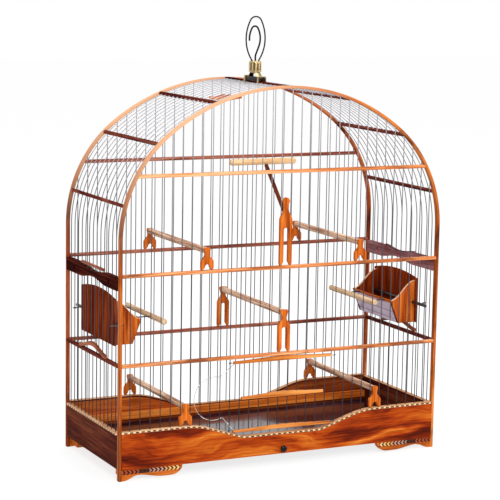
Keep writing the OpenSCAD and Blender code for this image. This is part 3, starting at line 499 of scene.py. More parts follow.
def edging_material():
    """Banding: a wood foot, and above it a cream strip with a row of long black dashes."""
    s = Shader("edging")
    split = s.node("ShaderNodeSeparateXYZ")
    s.link(s.grain((1000, 1000, 1000)), split.inputs[0])
    height = split.outputs["Y"]
    dash = s.math("FRACT", s.math("MULTIPLY", split.outputs["X"], 1 / 9.6))
    block = s.band(dash, 0.38, 0.42)
    inside = s.math("MULTIPLY", s.band(height, 0.75, 0.9), s.band(height, 2.7, 2.55))
    rim = s.band(height, 0.65, 0.55)
    fibres = s.noise(s.grain((20, 500, 500)), detail=4)
    cream = s.ramp(fibres, [(0.3, (0.55, 0.30, 0.13)), (0.7, (0.84, 0.62, 0.38))])
    colour = s.mix(s.math("MULTIPLY", block, inside), cream, (0.012, 0.005, 0.003))
    colour = s.mix(rim, colour, (0.22, 0.045, 0.010))
    s.set(Base_Color=colour, Roughness=0.34, Specular_IOR_Level=0.05, Coat_Weight=0.03, Coat_Roughness=0.12)
    s.bump(fibres, 0.08, 0.0003)
    return s.mat


def chevron_material():
    """Marquetry strip of arrowheads: red at the corner, then black, black and white, and gold."""
    s = Shader("chevron_inlay")
    split = s.node("ShaderNodeSeparateXYZ")
    s.link(s.grain((1000, 1000, 1000)), split.inputs[0])
    along, height = split.outputs["X"], split.outputs["Y"]
    slope = s.math("ABSOLUTE", s.math("SUBTRACT", height, 3.15))
    turn = s.math("FRACT", s.math("MULTIPLY", s.math("ADD", along, slope), 1 / 6.7))
    dark = s.math("MULTIPLY", s.band(turn, 0.42, 0.50), s.band(turn, 0.99, 0.93))
    fibres = s.noise(s.grain((40, 700, 700)), detail=4)
    ground = s.ramp(s.math("MULTIPLY", along, 1 / 97), [
        (0.0, (0.30, 0.050, 0.018)), (0.27, (0.34, 0.065, 0.025)), (0.31, (0.035, 0.012, 0.009)),
        (0.45, (0.050, 0.016, 0.012)), (0.50, (0.40, 0.21, 0.17)), (0.74, (0.48, 0.25, 0.18)),
        (0.79, (0.66, 0.36, 0.09)), (1.0, (0.80, 0.54, 0.24))])
    shade = s.ramp(s.math("MULTIPLY", along, 1 / 97), [
        (0.0, (0.020, 0.006, 0.005)), (0.75, (0.012, 0.005, 0.004)), (0.82, (0.09, 0.018, 0.004)),
        (1.0, (0.06, 0.014, 0.004))])
    colour = s.mix(dark, ground, shade)
    colour = s.mix(s.band(fibres, 0.35, 0.7, 0.0, 0.25), colour, (0.12, 0.03, 0.01))
    s.set(Base_Color=colour, Roughness=0.32, Specular_IOR_Level=0.05, Coat_Weight=0.03, Coat_Roughness=0.1)
    s.bump(fibres, 0.08, 0.0002)
    return s.mat


def metal(name, colour, stain, rough=0.3, spread=0.12, relief=0.05, metallic=1.0, coat=0.0):
    """Wire or sheet metal with drawing lines, faint stains and uneven shine."""
    s = Shader(name)
    lines = s.noise(s.grain((30, 1500, 1500)), detail=3)
    stains = s.noise(s.grain((45, 90, 90), shift=(4, 2, 8)), detail=4, rough=0.6)
    tone = s.ramp(stains, [(0.35, stain), (0.62, colour)])
    s.set(Base_Color=s.mix(s.band(lines, 0.3, 0.8, 0.0, 0.3), tone, tuple(min(1, c * 1.3) for c in colour)),
          Metallic=metallic, Roughness=s.band(stains, 0.3, 0.7, rough + spread, rough - spread / 2),
          Coat_Weight=coat, Coat_Roughness=0.1)
    s.bump(lines, relief, 0.0002)
    return s.mat


def cage_wire():
    """Drawn steel wire, dark near the tray and lighter towards the roof, its tone going by height."""
    s = Shader("cage_wire")
    lines = s.noise(s.grain((30, 1500, 1500)), detail=3)
    stains = s.noise(s.grain((45, 90, 90), shift=(4, 2, 8)), detail=4, rough=0.6)
    split = s.node("ShaderNodeSeparateXYZ")
    s.link(s.grain((1, 1, 1)), split.inputs[0])
    height = s.math("MULTIPLY_ADD", stains, 0.12, split.outputs["X"])
    colour = s.ramp(s.math("MULTIPLY", height, 1.5), [
        (0.2, (0.030, 0.028, 0.034)), (0.62, (0.075, 0.074, 0.085)), (0.80, (0.26, 0.25, 0.27)),
        (1.0, (0.50, 0.49, 0.52))])
    s.set(Base_Color=s.mix(s.band(lines, 0.3, 0.8, 0.0, 0.3), colour, (0.14, 0.14, 0.16)), Metallic=1.0,
          Roughness=s.band(stains, 0.3, 0.7, 0.44, 0.28))
    s.bump(lines, 0.05, 0.0002)
    return s.mat


def lacquer():
    """Glossy dark purple-brown paint, with brush marks and a little dust dulling it in places."""
    s = Shader("tray_lacquer")
    marks = s.noise(s.grain((6, 140, 140)), detail=4, rough=0.6)
    cloud = s.noise(s.grain((9, 9, 9), shift=(5, 5, 5)), detail=5)
    colour = s.ramp(s.math("MULTIPLY_ADD", cloud, 0.7, s.math("MULTIPLY", marks, 0.3)), [
        (0.3, (0.012, 0.003, 0.005)), (0.5, (0.028, 0.008, 0.014)), (0.72, (0.080, 0.036, 0.055))])
    s.set(Base_Color=colour, Roughness=s.band(cloud, 0.3, 0.7, 0.14, 0.26), Coat_Weight=0.26, Coat_Roughness=0.08)
    s.bump(marks, 0.05, 0.0005)
    return s.mat


def clear_sheet():
    """Clear plastic with a faint lavender tint and fine handling scratches."""
    s = Shader("clear_sheet")
    scratch = s.noise(s.grain((900, 40, 40), turn=(0, 0, 35)), detail=3, distortion=1.5)
    haze = s.noise(s.grain((60, 60, 60)), detail=4)
    lines = s.noise(s.grain((2, 2, 420), shift=(3, 3, 3)), detail=1)
    colour = s.ramp(haze, [(0.3, (0.50, 0.38, 0.52)), (0.7, (0.72, 0.60, 0.76))])
    colour = s.mix(s.band(lines, 0.56, 0.62, 0.0, 0.5), colour, (0.16, 0.09, 0.14))
    s.set(Base_Color=colour, Roughness=s.band(scratch, 0.55, 0.75, 0.12, 0.3), Specular_IOR_Level=0.3, Alpha=0.82)
    s.bump(scratch, 0.03, 0.0002)
    return s.mat


VENEER = veneer()
EDGING = edging_material()
EDGING_TOP = wood("edging_top", (0.24, 0.085, 0.035), (0.50, 0.26, 0.13), (0.70, 0.46, 0.28), patch=0.4, shine=0.0)
CHEVRON = chevron_material()
CAGE_WIRE = cage_wire()
WIRE = metal("wire_steel", (0.15, 0.155, 0.175), (0.07, 0.062, 0.062), rough=0.34)
SPRING = metal("spring_steel", (0.72, 0.73, 0.76), (0.45, 0.45, 0.47), rough=0.16)
BRASS = metal("brass", (0.66, 0.52, 0.27), (0.16, 0.10, 0.045), rough=0.22, relief=0.04)
OLD_BRASS = metal("old_brass", (0.14, 0.085, 0.04), (0.03, 0.018, 0.012), rough=0.4)
HOOK_WIRE = metal("hook_wire", (0.022, 0.014, 0.013), (0.006, 0.004, 0.004), rough=0.24)
DARK_ROD = metal("dark_rod", (0.012, 0.008, 0.009), (0.005, 0.004, 0.004), rough=0.3, metallic=0.0, coat=0.08)
LACQUER = lacquer()
CLEAR = clear_sheet()


# ---------------------------------------------------------------- CAD nodes that are kept as they are


def keep(node, material, along="x", seed=0.0, smooth=30):
    """Gives a CAD node its material, and its grain place so that the wood runs along one axis."""
    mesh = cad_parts[node].data
    order = {"x": (0, 2, 1), "y": (1, 2, 0), "z": (2, 0, 1)}[along]
    layer = mesh.attributes.new("grain", "FLOAT_VECTOR", "POINT")
    flat = []
    for v in mesh.vertices:
        flat += [v.co[order[0]] + seed, v.co[order[1]] + seed * 0.31, v.co[order[2]]]
    layer.data.foreach_set("vector", flat)
    mesh.materials.clear()
    mesh.materials.append(material)
    smooth_shade(mesh, smooth)


keep("back_panel", PANEL_WOOD, "x", 1.3)
keep("front_panel", VENEER, "x", 0.4)
keep("tray_front", VENEER, "x", 0.4)
keep("left_panel", SIDE_WOOD, "y", 2.1)
keep("right_panel", SIDE_WOOD, "y", 3.7)
keep("tray_runners", PALE_WOOD, "y")
keep("back_ledge", PALE_WOOD, "x", 0.9)
keep("front_rails", RAIL_WOOD, "x", 5.0)
keep("back_rails", REAR_WOOD, "x", 6.0)
keep("side_rails", DIM_RAIL, "y", 7.0)
keep("roof_cross_rails", WINE_WOOD, "y", 8.0)
keep("ridge_bar", DARK_WOOD, "y", 9.0)
for wires in ("front_wires", "back_wires", "left_side_wires", "right_side_wires", "roof_wires",
              "door_wires", "left_gate_wires", "right_gate_wires"):
    keep(wires, CAGE_WIRE, "z", smooth=50)
keep("left_waist_plate", DARK_WOOD, "y", 10.0)
keep("right_waist_plate", PLUM_WOOD, "y", 11.0)
keep("tray_board", LACQUER, "x")
keep("tray_knob", EBONY, "y", smooth=50)

# ---------------------------------------------------------------- hoops and panels


def rounded_rect(w, h, r, steps=3):
    pts = []
    for cx, cy, a0 in ((w / 2 - r, h / 2 - r, 0), (-w / 2 + r, h / 2 - r, 90),
                       (-w / 2 + r, -h / 2 + r, 180), (w / 2 - r, -h / 2 + r, 270)):
        for i in range(steps + 1):
            a = math.radians(a0 + 90 * i / steps)
            pts.append((cx + r * math.cos(a), cy + r * math.sin(a)))
    return pts


def arch_frames(y):
    """Places and axes (outwards, across) along a whole hoop, from its right foot to its left foot."""
    half = [((HALF_W, y, z), (1, 0, 0)) for z in arange(0, SPRING_Z, 24)[:-1]]
    half += [((arch_point(a)[0], y, arch_point(a)[1]), (math.cos(a), 0, math.sin(a)))
             for a in arange(0, math.pi / 2, 72)]
    right = [(p, n, (0, 1, 0)) for p, n in half]
    left = [((-p[0], p[1], p[2]), (-n[0], 0, n[2]), (0, 1, 0)) for p, n in reversed(half[:-1])]
    return right + left


for name, y, hoop_mat in (("front_hoop", -HALF_D, HOOP_WOOD), ("back_hoop", HALF_D, BACK_HOOP)):
    b = Build()
    b.sweep(arch_frames(y), rounded_rect(HOOP_T, HOOP_W, 0.9))
    b.done(name + "_bent", "cage", "hoop_wood", [hoop_mat], [name], smooth=60)

STRIP_W, EASE, PANEL_END_Z = 8.25, 0.4, 75
DASHED, TOP, INNER = 0, 1, 2


def banding(b, rings, low, high, outer):
    """Edging strip from low to high across; only its outer face, at low or high, carries dashes."""
    b.sweep(rings, [(0, low), (0, high), (EDGING_H - EASE, high), (EDGING_H, high - EASE),
                    (EDGING_H, low + EASE), (EDGING_H - EASE, low)])
    sides = [TOP, DASHED if outer == high else INNER, TOP, TOP, TOP, DASHED if outer == low else INNER]
    count = len(sides) * (len(rings) - 1)
    for k in range(count):
        b.mats[k - count - 2] = sides[k % len(sides)]


b = Build()
xs = arange(DIP_HALF, DIP_END, 8) + arange(TOP_START, CROWN_HALF, 20) + [POST_IN]
xs = [-x for x in reversed(xs)] + xs
for y in (-HALF_D, HALF_D):
    rings = [((x, y, panel_top(x) - EDGING_H), (0, 0, 1), (0, 1, 0)) for x in xs]
    banding(b, rings, -HOOP_W / 2, HOOP_W / 2, math.copysign(HOOP_W / 2, y))
for x0, x1 in ((-PLATE_OUT, -PLATE_OUT + STRIP_W), (PLATE_OUT - STRIP_W, PLATE_OUT)):
    rings = [((0, y, PANEL_END_Z - EDGING_H), (0, 0, 1), (1, 0, 0)) for y in arange(-INNER_D, INNER_D, 4)]
    banding(b, rings, x0, x1, math.copysign(PLATE_OUT, x0))
b.done("panel_edging_banding", "cage", "edging", [EDGING, EDGING_TOP, SIDE_WOOD], ["panel_edging"])

# Feet with eased edges, and the marquetry strip let into each.
PAD, OGEE_TOP, OGEE_END, OGEE_RISE = 3.5, 28.0, 70.0, 7.7
FOOT_H, FOOT_LEN, LOBE_Z, LOBE_RUN = 17.0, 103.0, 2.2, 20.0
outline = [(0, FOOT_H), (0, 0)]
outline += [(u, OGEE_RISE * bump(u - OGEE_TOP, OGEE_TOP - PAD)) for u in arange(PAD, OGEE_TOP, 14)]
outline += [(u, LOBE_Z + (OGEE_RISE - LOBE_Z) * bump(u - OGEE_TOP, OGEE_END - OGEE_TOP))
            for u in arange(OGEE_TOP, OGEE_END, 18)[1:]]
outline += [(FOOT_LEN - LOBE_RUN * (1 - math.sin(a)), LOBE_Z + (FOOT_H - LOBE_Z) * (1 - math.cos(a)))
            for a in arange(0, math.pi / 2, 16)]
feet, strips = Build(1.0), Build()
for sx in (-1, 1):
    for sy in (-1, 1):
        pts = [(sx * (POST_IN - u), v) for u, v in outline]
        feet.plate(pts, HOOP_W - 0.5, at(0, sy * (HALF_D - 0.25), 0) @ FACING_Y, 0.5)
        x0 = POST_IN - 1
        verts, grain = [], []
        for u in (0, 97):
            for v in (0, 6.3):
                for w in (OUTER_D - 1.2, OUTER_D):
                    verts.append((sx * (x0 - u), sy * w, 10.3 + v))
                    grain.append((u, v, w))
        faces = [(1, 3, 7, 5), (0, 4, 6, 2), (0, 1, 5, 4), (2, 6, 7, 3), (0, 2, 3, 1), (4, 5, 7, 6)]
        if sx * sy > 0:
            faces = [tuple(reversed(f)) for f in faces]
        strips.add(verts, faces, grain)
feet.done("corner_feet_shaped", "cage", "foot_wood", [FOOT_WOOD], ["corner_feet"])
strips.done("foot_inlay_marquetry", "cage", "edging", [CHEVRON], ["foot_inlay"])

# ---------------------------------------------------------------- front door and gates


def slat(b, half, z, h, rise, y, thick, to=FACING_Y, steps=36, hollow=0.0, x=0.0):
    """A slat with an arched top edge, and a hollow under it where that is not 0."""
    xs = arange(-half, half, steps)
    pts = [(u, z + hollow * bump(u, half)) for u in xs]
    pts += [(u, z + h + rise * bump(u, half)) for u in reversed(xs)]
    b.plate(pts, thick, at(x, y, 0) @ to, 0.7)


b = Build(0.2)
for half, z, h, rise in ((87, 58.4, 4, 2.5), (73, 111, 4.5, 3.5), (87, 169.5, 4.2, 3)):
    slat(b, half, z, h, rise, -HALF_D, 5)
b.done("door_slats_shaped", "front_door", "slat_wood", [SLAT_WOOD], ["door_slats"])

HINGE_X = PITCH_X * (11 - 16.5)
b = Build()
for z in (60.8, 169.8):
    coil = [(HINGE_X + 1.35 * math.cos(a), -HALF_D + 1.35 * math.sin(a), z + 0.4 + 2.2 * a / (6 * math.pi))
            for a in arange(0, 6 * math.pi, 72)]
    b.tube(coil, 0.5, 8)
    b.tube([(HINGE_X, -HALF_D + 1.35, z + 0.5), (HINGE_X + 3, -HALF_D + 0.6, z + 1.2),
            (-86.5, -HALF_D, z + 1.6)], 0.5, 8)
    b.tube([(86.5, -HALF_D, z + 1.1), (89.5, -HALF_D - 1.2, z + 1.1), (92, -HALF_D - 1.42, z + 1.1),
            (95.2, -HALF_D - 1.42, z + 1.1)], 0.5, 8, ends=0.6)
b.done("door_eyes_wound", "front_door", "wire", [WIRE], ["door_eyes"], smooth=60)

BOW_C, BOW_R, BOW_A, SPRING_Y = (-118.5, 116.0), 35.0, (75.0, 294.0), -HALF_D + 3.3
path = [(-81, SPRING_Y - 2.7, 171.6), (-81, SPRING_Y - 0.8, 171.6), (-81.4, SPRING_Y, 171.4)]
for a in arange(math.radians(BOW_A[0]), math.radians(BOW_A[1]), 64):
    path.append((BOW_C[0] + BOW_R * math.cos(a), SPRING_Y, BOW_C[1] + BOW_R * math.sin(a)))
path += [(-83.9, SPRING_Y, 60.8), (-83.5, SPRING_Y - 0.8, 60.6), (-83.5, SPRING_Y - 2.7, 60.6)]
b = Build()
b.tube(path, 0.5, 12)
b.done("door_spring_bow", "front_door", "spring_steel", [SPRING], ["door_spring"], smooth=60)

for side, name, low, high, sag in ((-1, "left", 319.6, 323.6, 0.0), (1, "right", 318.2, 320, PLATE_DIP)):
    b = Build(1.7 + side)
    x = side * (281.2 + 285.4) / 2
    slat(b, 57, 183.4, 5.6, 11, side * GATE_Y, 4.2, FACING_X, hollow=9.5, x=x)
    us = arange(-47, 47, 24)
    pts = [(u, low - sag * bump(u, NARROW)) for u in us]
    pts += [(u, high - sag * bump(u, NARROW)) for u in reversed(us)]
    b.plate(pts, 4.2, at(x, side * GATE_Y, 0) @ FACING_X, 0.4, mat=1)
    b.done(name + "_gate_slats_shaped", name + "_gate", "slat_wood", [GATE_WOOD, GATE_WOOD if sag == 0 else PLUM_WOOD],
           [name + "_gate_slats"])

# ---------------------------------------------------------------- perches

FORK_T = 6.0


def fork_outline(h, leg_h, shoulder, head, round_head=False):
    """Flat flared or round head, waisted neck, shoulders, and two pointed legs with a round-topped gap."""
    leg_out, gap, neck, lip = 10.7, 4.0, 3.9, 1.8
    neck_z = (h + shoulder) / 2
    half = [(head - 1.3, h)]
    half += [(head + (neck - head) * (1 - math.cos(math.pi * t)) / 2, h - lip + (neck_z - h + lip) * t)
             for t in arange(0, 1, 10)]
    if round_head:
        half = [(head * math.sin(a), h - head + head * math.cos(a)) for a in arange(0, math.radians(135), 18)]
        half += [(neck, neck_z)]
    half += [(neck + (leg_out - neck) * (1 - math.cos(math.pi * t)) / 2, neck_z + (shoulder - neck_z) * t)
             for t in arange(0, 1, 14)[1:]]
    half += [(leg_out, 3), (leg_out - 1.3, 0), (leg_out - 3, 0), (gap, min(6, leg_h - gap - 0.5))]
    half += [(gap * math.cos(a), leg_h - gap + gap * math.sin(a)) for a in arange(0, math.pi / 2, 8)]
    return half + [(-x, z) for x, z in reversed(half) if x > 0.01]


def fork(b, x, z, sizes, side):
    b.plate(fork_outline(*sizes), FORK_T, at(x, side * HALF_D, z) @ FACING_Y, 0.8, (0, 1))


def dowel(b, x, z, shift):
    b.tube([(x, y, z) for y in arange(-HALF_D + FORK_T / 2, HALF_D - FORK_T / 2, 6)], 5.0, 28,
           ends=0.12, shift=shift)


SEAT, RAIL_TOP = 0.1, 2.75
SHORT = (35, 9, 12.5, 5.2)
PERCHES = (
    ("upper_left", PITCH_X * -8, 320 + RAIL_TOP, SHORT), ("upper_right", PITCH_X * 8, 320 + RAIL_TOP, SHORT),
    ("middle", 0.0, 180.4 + RAIL_TOP, (68, 40, 41, 6.6)),
    ("lower_left", PITCH_X * -10, END_Z, SHORT), ("lower_right", PITCH_X * 10, END_Z, SHORT))
for i, (name, x, z, sizes) in enumerate(PERCHES):
    b = Build(0.9 * i)
    for side in (-1, 1):
        fork(b, x, z + SEAT, sizes, side)
    b.done(name + "_forks_shaped", name + "_perch", "fork_wood", [FORK_WOOD], [name + "_forks"])
    b = Build(1.3 * i + 0.2)
    dowel(b, x, z + SEAT + sizes[0] - 5, 40.0 * i)
    b.done(name + "_dowel_turned", name + "_perch", "dowel", [DOWEL], [name + "_dowel"], smooth=60)

TEE_Z, TEE_Y, TEE_ARM = 320 + RAIL_TOP + SEAT, -HALF_D + 78, (82.0, 157.0)
b = Build(3.1)
fork(b, 0, TEE_Z, (108, 60, 72, 5.8, True), -1)
b.done("tee_fork_shaped", "tee_perch", "fork_wood", [FORK_WOOD], ["tee_fork"])
b = Build(0.6)
arm = Vector((0, TEE_Y, TEE_Z + TEE_ARM[1])) - Vector((0, -HALF_D + FORK_T / 2, TEE_Z + TEE_ARM[0]))
foot = Vector((0, -HALF_D + FORK_T / 2 + 0.3, TEE_Z + TEE_ARM[0]))
b.tube([foot + arm * t for t in (0.0, 0.03, 0.3, 0.6, 0.93)], 3.2, 24, ends=0.2)
b.done("tee_arm_turned", "tee_perch", "dark_wood", [TEE_WOOD], ["tee_arm"], smooth=60)
b = Build(0.3)
b.tube([(x, TEE_Y, TEE_Z + TEE_ARM[1]) for x in arange(-61, 55, 6)], 5.0, 28, ends=0.45)
b.done("tee_bar_turned", "tee_perch", "slat_wood", [PALE_BAR], ["tee_bar"], smooth=60)

# ---------------------------------------------------------------- feeders

IN_X, LIP_OUT, FLOOR_OUT, FEED_Z, LIP_Z, CHEEK_Z = 270.0, 46.0, 31.0, 204.0, 243.0, 275.0
CHEEK_Y, CHEEK_T, HANG_X, HANG_Z, STICK_X = 64.0, 4.0, 266.5, 238.5, 197.0
LIP_X = IN_X - LIP_OUT + 2
for name, place in (("right", Matrix.Identity(4)), ("left", HALF_TURN)):
    body = name + "_feeder"
    b = Build(2.0 if name == "right" else 5.0)
    ys = arange(-72, 72, 36)
    pts = [(-72, FEED_Z), (72, FEED_Z)] + [(y, 278 + 8 * (1 - (y / 72) ** 2)) for y in reversed(ys)]
    b.plate(pts, 3, at(271.5, 0, 0) @ FACING_X, 0.6, (0, 1))
    cheek = [(IN_X, FEED_Z), (IN_X - FLOOR_OUT, FEED_Z)]
    cheek += [(IN_X - LIP_OUT * (1 - t), LIP_Z + (CHEEK_Z - LIP_Z) * (1 - math.cos(math.pi * t)) / 2)
              for t in arange(0, 1, 28)]
    for side in (-1, 1):
        count = b.plate(cheek, CHEEK_T, at(0, side * CHEEK_Y, 0) @ FACING_Y, 0.7, (0, 1), mat=1)
        for f in range(len(b.faces) - count, len(b.faces)):
            spots = [Vector(b.verts[k]) for k in b.faces[f]]
            middle = sum(spots, Vector()) / len(spots)
            if all(abs(p.y * side - CHEEK_Y + CHEEK_T / 2) < 0.01 for p in spots):
                b.mats[f] = 0
            # Edge faces: along the curved top of each cheek a pale painted highlight, elsewhere dark wine wood.
            elif len(spots) == 4:
                b.mats[f] = 2 if middle.x > IN_X - LIP_OUT + 1 and middle.z > LIP_Z - 1 else 3
    half = CHEEK_Y - CHEEK_T / 2
    b.box((IN_X - FLOOR_OUT + 1.9, -half, FEED_Z), (IN_X, half, FEED_Z + 4), 0.4, "y")
    b.box((LIP_X - 2, -half, LIP_Z - 4), (LIP_X + 2, half, LIP_Z), 0.8, "y", mat=1)
    b.done(name + "_feeder_woodwork", body, "feeder_wood", [FEEDER_WOOD, FEEDER_CHEEK, FEEDER_EDGE_HIGHLIGHT, WINE_WOOD],
           [name + "_feeder_boards"], place)
    # The rod, its turned ends and the clips round the side wires.
    b = Build()
    b.tube([(HANG_X, y, HANG_Z) for y in arange(-108, 88, 8)], 2.6, 20, ends=0.35)
    for side in (-1, 1):
        cy = side * PITCH_Y * 5
        clip = [(HANG_X + 1, cy + side * 2.4, HANG_Z), (HANG_X + 8, cy + side * 2.4, HANG_Z)]
        clip += [(HALF_W + 2.4 * math.sin(a), cy + side * 2.4 * math.cos(a), HANG_Z) for a in arange(0, math.pi, 20)]
        clip += [(HALF_W - 2, cy - side * 2.4, HANG_Z)]
        b.tube(clip, 0.9, 10, mat=1, ends=0.4)
    b.done(name + "_feeder_rod", body, "dark_rod", [DARK_ROD, WIRE], [name + "_feeder_hanger"], place, smooth=60)
    b = Build(0.5)
    stick_z = LIP_Z - 2
    b.tube([(STICK_X, y, stick_z) for y in arange(-62, 94, 8)], 4.5, 24, ends=0.25)
    for y in (-42, 42):
        b.tube([(STICK_X + 3, y, stick_z), (LIP_X - 1, y, stick_z)], 1.0, 10, mat=2)
        b.lathe([(0.1, -2.9), (1.6, -2.5), (2.3, -1.4), (2.3, -0.6), (1.5, 0)],
                at(LIP_X - 2, y, stick_z) @ Matrix.Rotation(math.pi / 2, 4, "Y"), 20, 2)
    b.done(name + "_feeder_perch", body, "dowel", [PALE_STICK, WIRE, DARK_ROD], [name + "_feeder_stick"],
           place, smooth=60)
    keep(name + "_feeder_front", CLEAR, "y")

# ---------------------------------------------------------------- trim and hook

b = Build(1.1)
xs = arange(-30, 30, 30)
b.plate([(x, -2 - 3.5 * bump(x, 30)) for x in xs] + [(x, 2 + 3.5 * bump(x, 30)) for x in reversed(xs)],
        3, at(-2, HALF_D - WIRE_R - 1.6, 572) @ FACING_Y, 0.7)
b.done("back_plaque_shaped", "cage", "pale_wood", [PALE_WOOD], ["back_plaque"])

SADDLE_Z, HOOK_Y = ARCH_TOP + 2.5, 4.9
b = Build()
profile = rounded_rect(12, 7, 1.6, 4)
b.sweep([((0, HOOK_Y + y, SADDLE_Z + 3.5), (k, 0, 0), (0, 0, k2)) for y, k, k2 in (
    (-28, 0.86, 0.8), (-27.4, 0.96, 0.93), (-26, 1, 1), (26, 1, 1), (27.4, 0.96, 0.93), (28, 0.86, 0.8))], profile)
b.done("hook_saddle_shaped", "cage", "ebony", [EBONY], ["hook_saddle"], smooth=50)

# Two straps folded round saddle and ridge, and the yoke with the stud that the collar turns on.
STRAP_T, STRAP_TOP, YOKE = 1.2, SADDLE_Z + 7 + 1.2, 6.0
b = Build()
low = ARCH_TOP - 2.5 - STRAP_T
outer = [(6 + STRAP_T, low), (6 + STRAP_T, STRAP_TOP - 1.5), (6 + STRAP_T - 1.5, STRAP_TOP)]
inner = [(6, low + STRAP_T), (6, STRAP_TOP - 1.9), (4.8, STRAP_TOP - STRAP_T)]
outer += [(-x, z) for x, z in reversed(outer)]
inner += [(-x, z) for x, z in reversed(inner)]
for y in (HOOK_Y - 24.5, HOOK_Y + 24.5):
    verts, faces = [], []
    n = len(outer)
    for x, z in outer + inner:
        verts += [(x, y - 2.5, z), (x, y + 2.5, z)]
    for k in range(n):
        m = (k + 1) % n
        o0, o1, i0, i1 = 2 * k, 2 * m, 2 * (n + k), 2 * (n + m)
        faces += [(o0, o1, o1 + 1, o0 + 1), (i0, i0 + 1, i1 + 1, i1), (o0, i0, i1, o1),
                  (o0 + 1, o1 + 1, i1 + 1, i0 + 1)]
    b.add(verts, faces, verts)
yoke = [(0, YOKE), (9, YOKE), (15, 0), (21, 0), (21, STRAP_T), (16, STRAP_T), (9.8, YOKE + STRAP_T),
        (0, YOKE + STRAP_T)]
yoke += [(-u, v) for u, v in yoke[6:0:-1]]
b.plate(yoke, 9, at(0, HOOK_Y, SADDLE_Z + 7) @ FACING_X, 0.3)
for y in (-18.5, 18.5):
    b.lathe([(1.6, 0), (1.5, 0.4), (0.9, 0.8), (0.1, 0.9)], at(0, HOOK_Y + y, STRAP_TOP - 0.1), 20)
YOKE_TOP = STRAP_TOP + YOKE
b.lathe([(3, -1), (3, 12.6), (2.6, 13)], at(0, HOOK_Y, YOKE_TOP), 32)
b.done("hook_straps_folded", "cage", "brass", [BRASS], ["hook_straps"], smooth=40)

COLLAR_Z = YOKE_TOP + 0.1
COLLAR_TOP = COLLAR_Z + 18
b = Build()
verts, faces, grain = [], [], []
SIDES, FLUTES, FLUTE_DEPTH, TARNISH_R = 120, 10, 1.6, 9.6
rings = [(3.1, 0.02, 0), (9.2, 0.02, 0), (10.3, 0.5, 0), (10.6, 1.2, 0), (10.5, 2.0, 0), (9.7, 2.4, 0), (9.7, 2.8, 0),
         (10.35, 3.3, 1), (10.45, 4.5, 1), (10.45, 13.0, 1), (10.35, 14.2, 1), (9.7, 14.6, 0), (9.7, 15.0, 0),
         (10.5, 15.4, 0), (10.2, 16.6, 0), (9.1, 17.6, 0), (8.4, 17.98, 0), (0.1, 17.98, 0)]
for r, z, fluted in rings:
    for k in range(SIDES):
        a = 2 * math.pi * k / SIDES
        rr = r - (FLUTE_DEPTH * (0.5 - 0.5 * math.cos(a * FLUTES)) if fluted else 0)
        verts.append((rr * math.cos(a), HOOK_Y + rr * math.sin(a), COLLAR_Z + z))
        grain.append((z, a * 8, r))
for i in range(len(rings) - 1):
    for k in range(SIDES):
        m = (k + 1) % SIDES
        faces.append((i * SIDES + k, i * SIDES + m, (i + 1) * SIDES + m, (i + 1) * SIDES + k))
faces.append(tuple(reversed(range(SIDES))))
faces.append(tuple((len(rings) - 1) * SIDES + k for k in range(SIDES)))
b.add(verts, faces, grain)
for f, face in enumerate(b.faces):
    spots = [Vector(b.verts[k]) for k in face]
    middle = sum(spots, Vector()) / len(spots)
    # The bottoms of the flutes are tarnished.
    deep = math.hypot(middle.x, middle.y - HOOK_Y) < TARNISH_R
    if len(face) == 4 and deep and 3 < middle.z - COLLAR_Z < 15:
        b.mats[f] = 1
b.done("hook_collar_fluted", "hook", "brass", [BRASS, OLD_BRASS], ["hook_collar"], smooth=35)


def bent(start, heading, steps):
    """Points along a wire in the x-z plane: (0, length) runs straight, (radius, degrees) turns right."""
    x, z = start
    a = math.radians(heading)
    pts = [(x, HOOK_Y, z)]
    for r, amount in steps:
        if r == 0:
            x, z = x + amount * math.sin(a), z + amount * math.cos(a)
            pts.append((x, HOOK_Y, z))
            continue
        sign = 1 if amount > 0 else -1
        cx, cz = x + sign * r * math.cos(a), z - sign * r * math.sin(a)
        count = max(6, int(abs(amount) / 4))
        for i in range(1, count + 1):
            t = a + math.radians(amount) * i / count
            pts.append((cx - sign * r * math.cos(t), HOOK_Y, cz + sign * r * math.sin(t)))
        x, z = pts[-1][0], pts[-1][2]
        a += math.radians(amount)
    return pts


FLARE, WIDEST, LOOP_TOP_R, LOOP_R = 35.7, 17.0, 11.0, 1.2
rise = 711 - LOOP_R - (COLLAR_TOP + 60 * math.sin(math.radians(FLARE)))
side_r = ((rise - LOOP_TOP_R) ** 2 + WIDEST**2 - LOOP_TOP_R**2) / (2 * (WIDEST - LOOP_TOP_R))
turn = math.degrees(math.asin((rise - LOOP_TOP_R) / (side_r - LOOP_TOP_R)))
b = Build()
foot = (5.7 - 3.5 * math.sin(math.radians(FLARE)), COLLAR_TOP - 3.5 * math.cos(math.radians(FLARE)))
b.tube(bent(foot, FLARE, [(0, 3.5), (60, -FLARE), (side_r, -turn), (LOOP_TOP_R, -(180 - 2 * turn)), (side_r, -turn),
                          (60, -FLARE), (0, 3.5)]), LOOP_R, 16)
b.tube(bent((0, COLLAR_TOP - 3.5), 0, [(0, 9.5), (12, 22), (0, 13), (34.3, -51.65), (6, -120.7), (34.3, -35.65)]),
       1.45, 18, ends=0.5)
b.done("hook_wires_bent", "hook", "hook_wire", [HOOK_WIRE], ["hook_wires"], smooth=70)

# ---------------------------------------------------------------- floor, light and camera

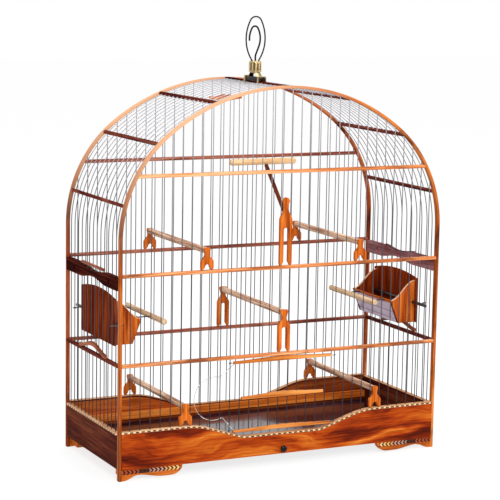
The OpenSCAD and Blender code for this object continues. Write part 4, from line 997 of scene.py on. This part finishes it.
floor_mesh = bpy.data.meshes.new("floor")
FLOOR = 12.0
floor_mesh.from_pydata([(-FLOOR, -FLOOR, -0.0002), (FLOOR, -FLOOR, -0.0002), (FLOOR, FLOOR, -0.0002),
                        (-FLOOR, FLOOR, -0.0002)], [], [(0, 1, 2, 3)])
floor = bpy.data.objects.new("floor", floor_mesh)
bpy.context.scene.collection.objects.link(floor)
s = Shader("floor_pale")
s.set(Base_Color=(0.20, 0.20, 0.20), Roughness=0.8, Specular_IOR_Level=0.0, Emission_Color=(1, 1, 1),
      Emission_Strength=0.79)
floor_mesh.materials.append(s.mat)

world = bpy.data.worlds.new("studio")
bpy.context.scene.world = world
world.use_nodes = True
world.node_tree.nodes["Background"].inputs["Color"].default_value = (1.0, 1.0, 1.0, 1)
world.node_tree.nodes["Background"].inputs["Strength"].default_value = 1.0


def area_light(name, place, target, size, power):
    data = bpy.data.lights.new(name, "AREA")
    data.shape = "DISK"
    data.size = size
    data.energy = power
    light = bpy.data.objects.new(name, data)
    light.location = place
    light.rotation_mode = "QUATERNION"
    light.rotation_quaternion = (Vector(target) - Vector(place)).to_track_quat("-Z", "Y")
    bpy.context.scene.collection.objects.link(light)


area_light("key", (-0.6, -2.6, 1.7), (0, 0, 0.3), 1.2, 46)
area_light("right_fill", (2.2, -1.4, 1.2), (0, 0, 0.3), 1.4, 22)
area_light("top", (0.2, 0.4, 2.6), (0, 0, 0.3), 1.6, 20)

camera_data = bpy.data.cameras.new("camera")
camera_data.sensor_width = 36
camera_data.lens = 133.32
camera_data.shift_x = 0.00565
camera_data.shift_y = 0.00193
camera_data.clip_start, camera_data.clip_end = 0.05, 60
camera = bpy.data.objects.new("camera", camera_data)
right = Vector((0.90067719, -0.43417496, 0.01651386))
up = Vector((0.0511332, 0.14366383, 0.98830466))
rot = Matrix((right, up, right.cross(up))).transposed()
camera.matrix_world = Matrix.Translation((-1.31761, -2.69255, 0.78843)) @ rot.to_4x4()
bpy.context.scene.collection.objects.link(camera)
bpy.context.scene.camera = camera
bpy.context.scene.view_settings.view_transform = "Standard"
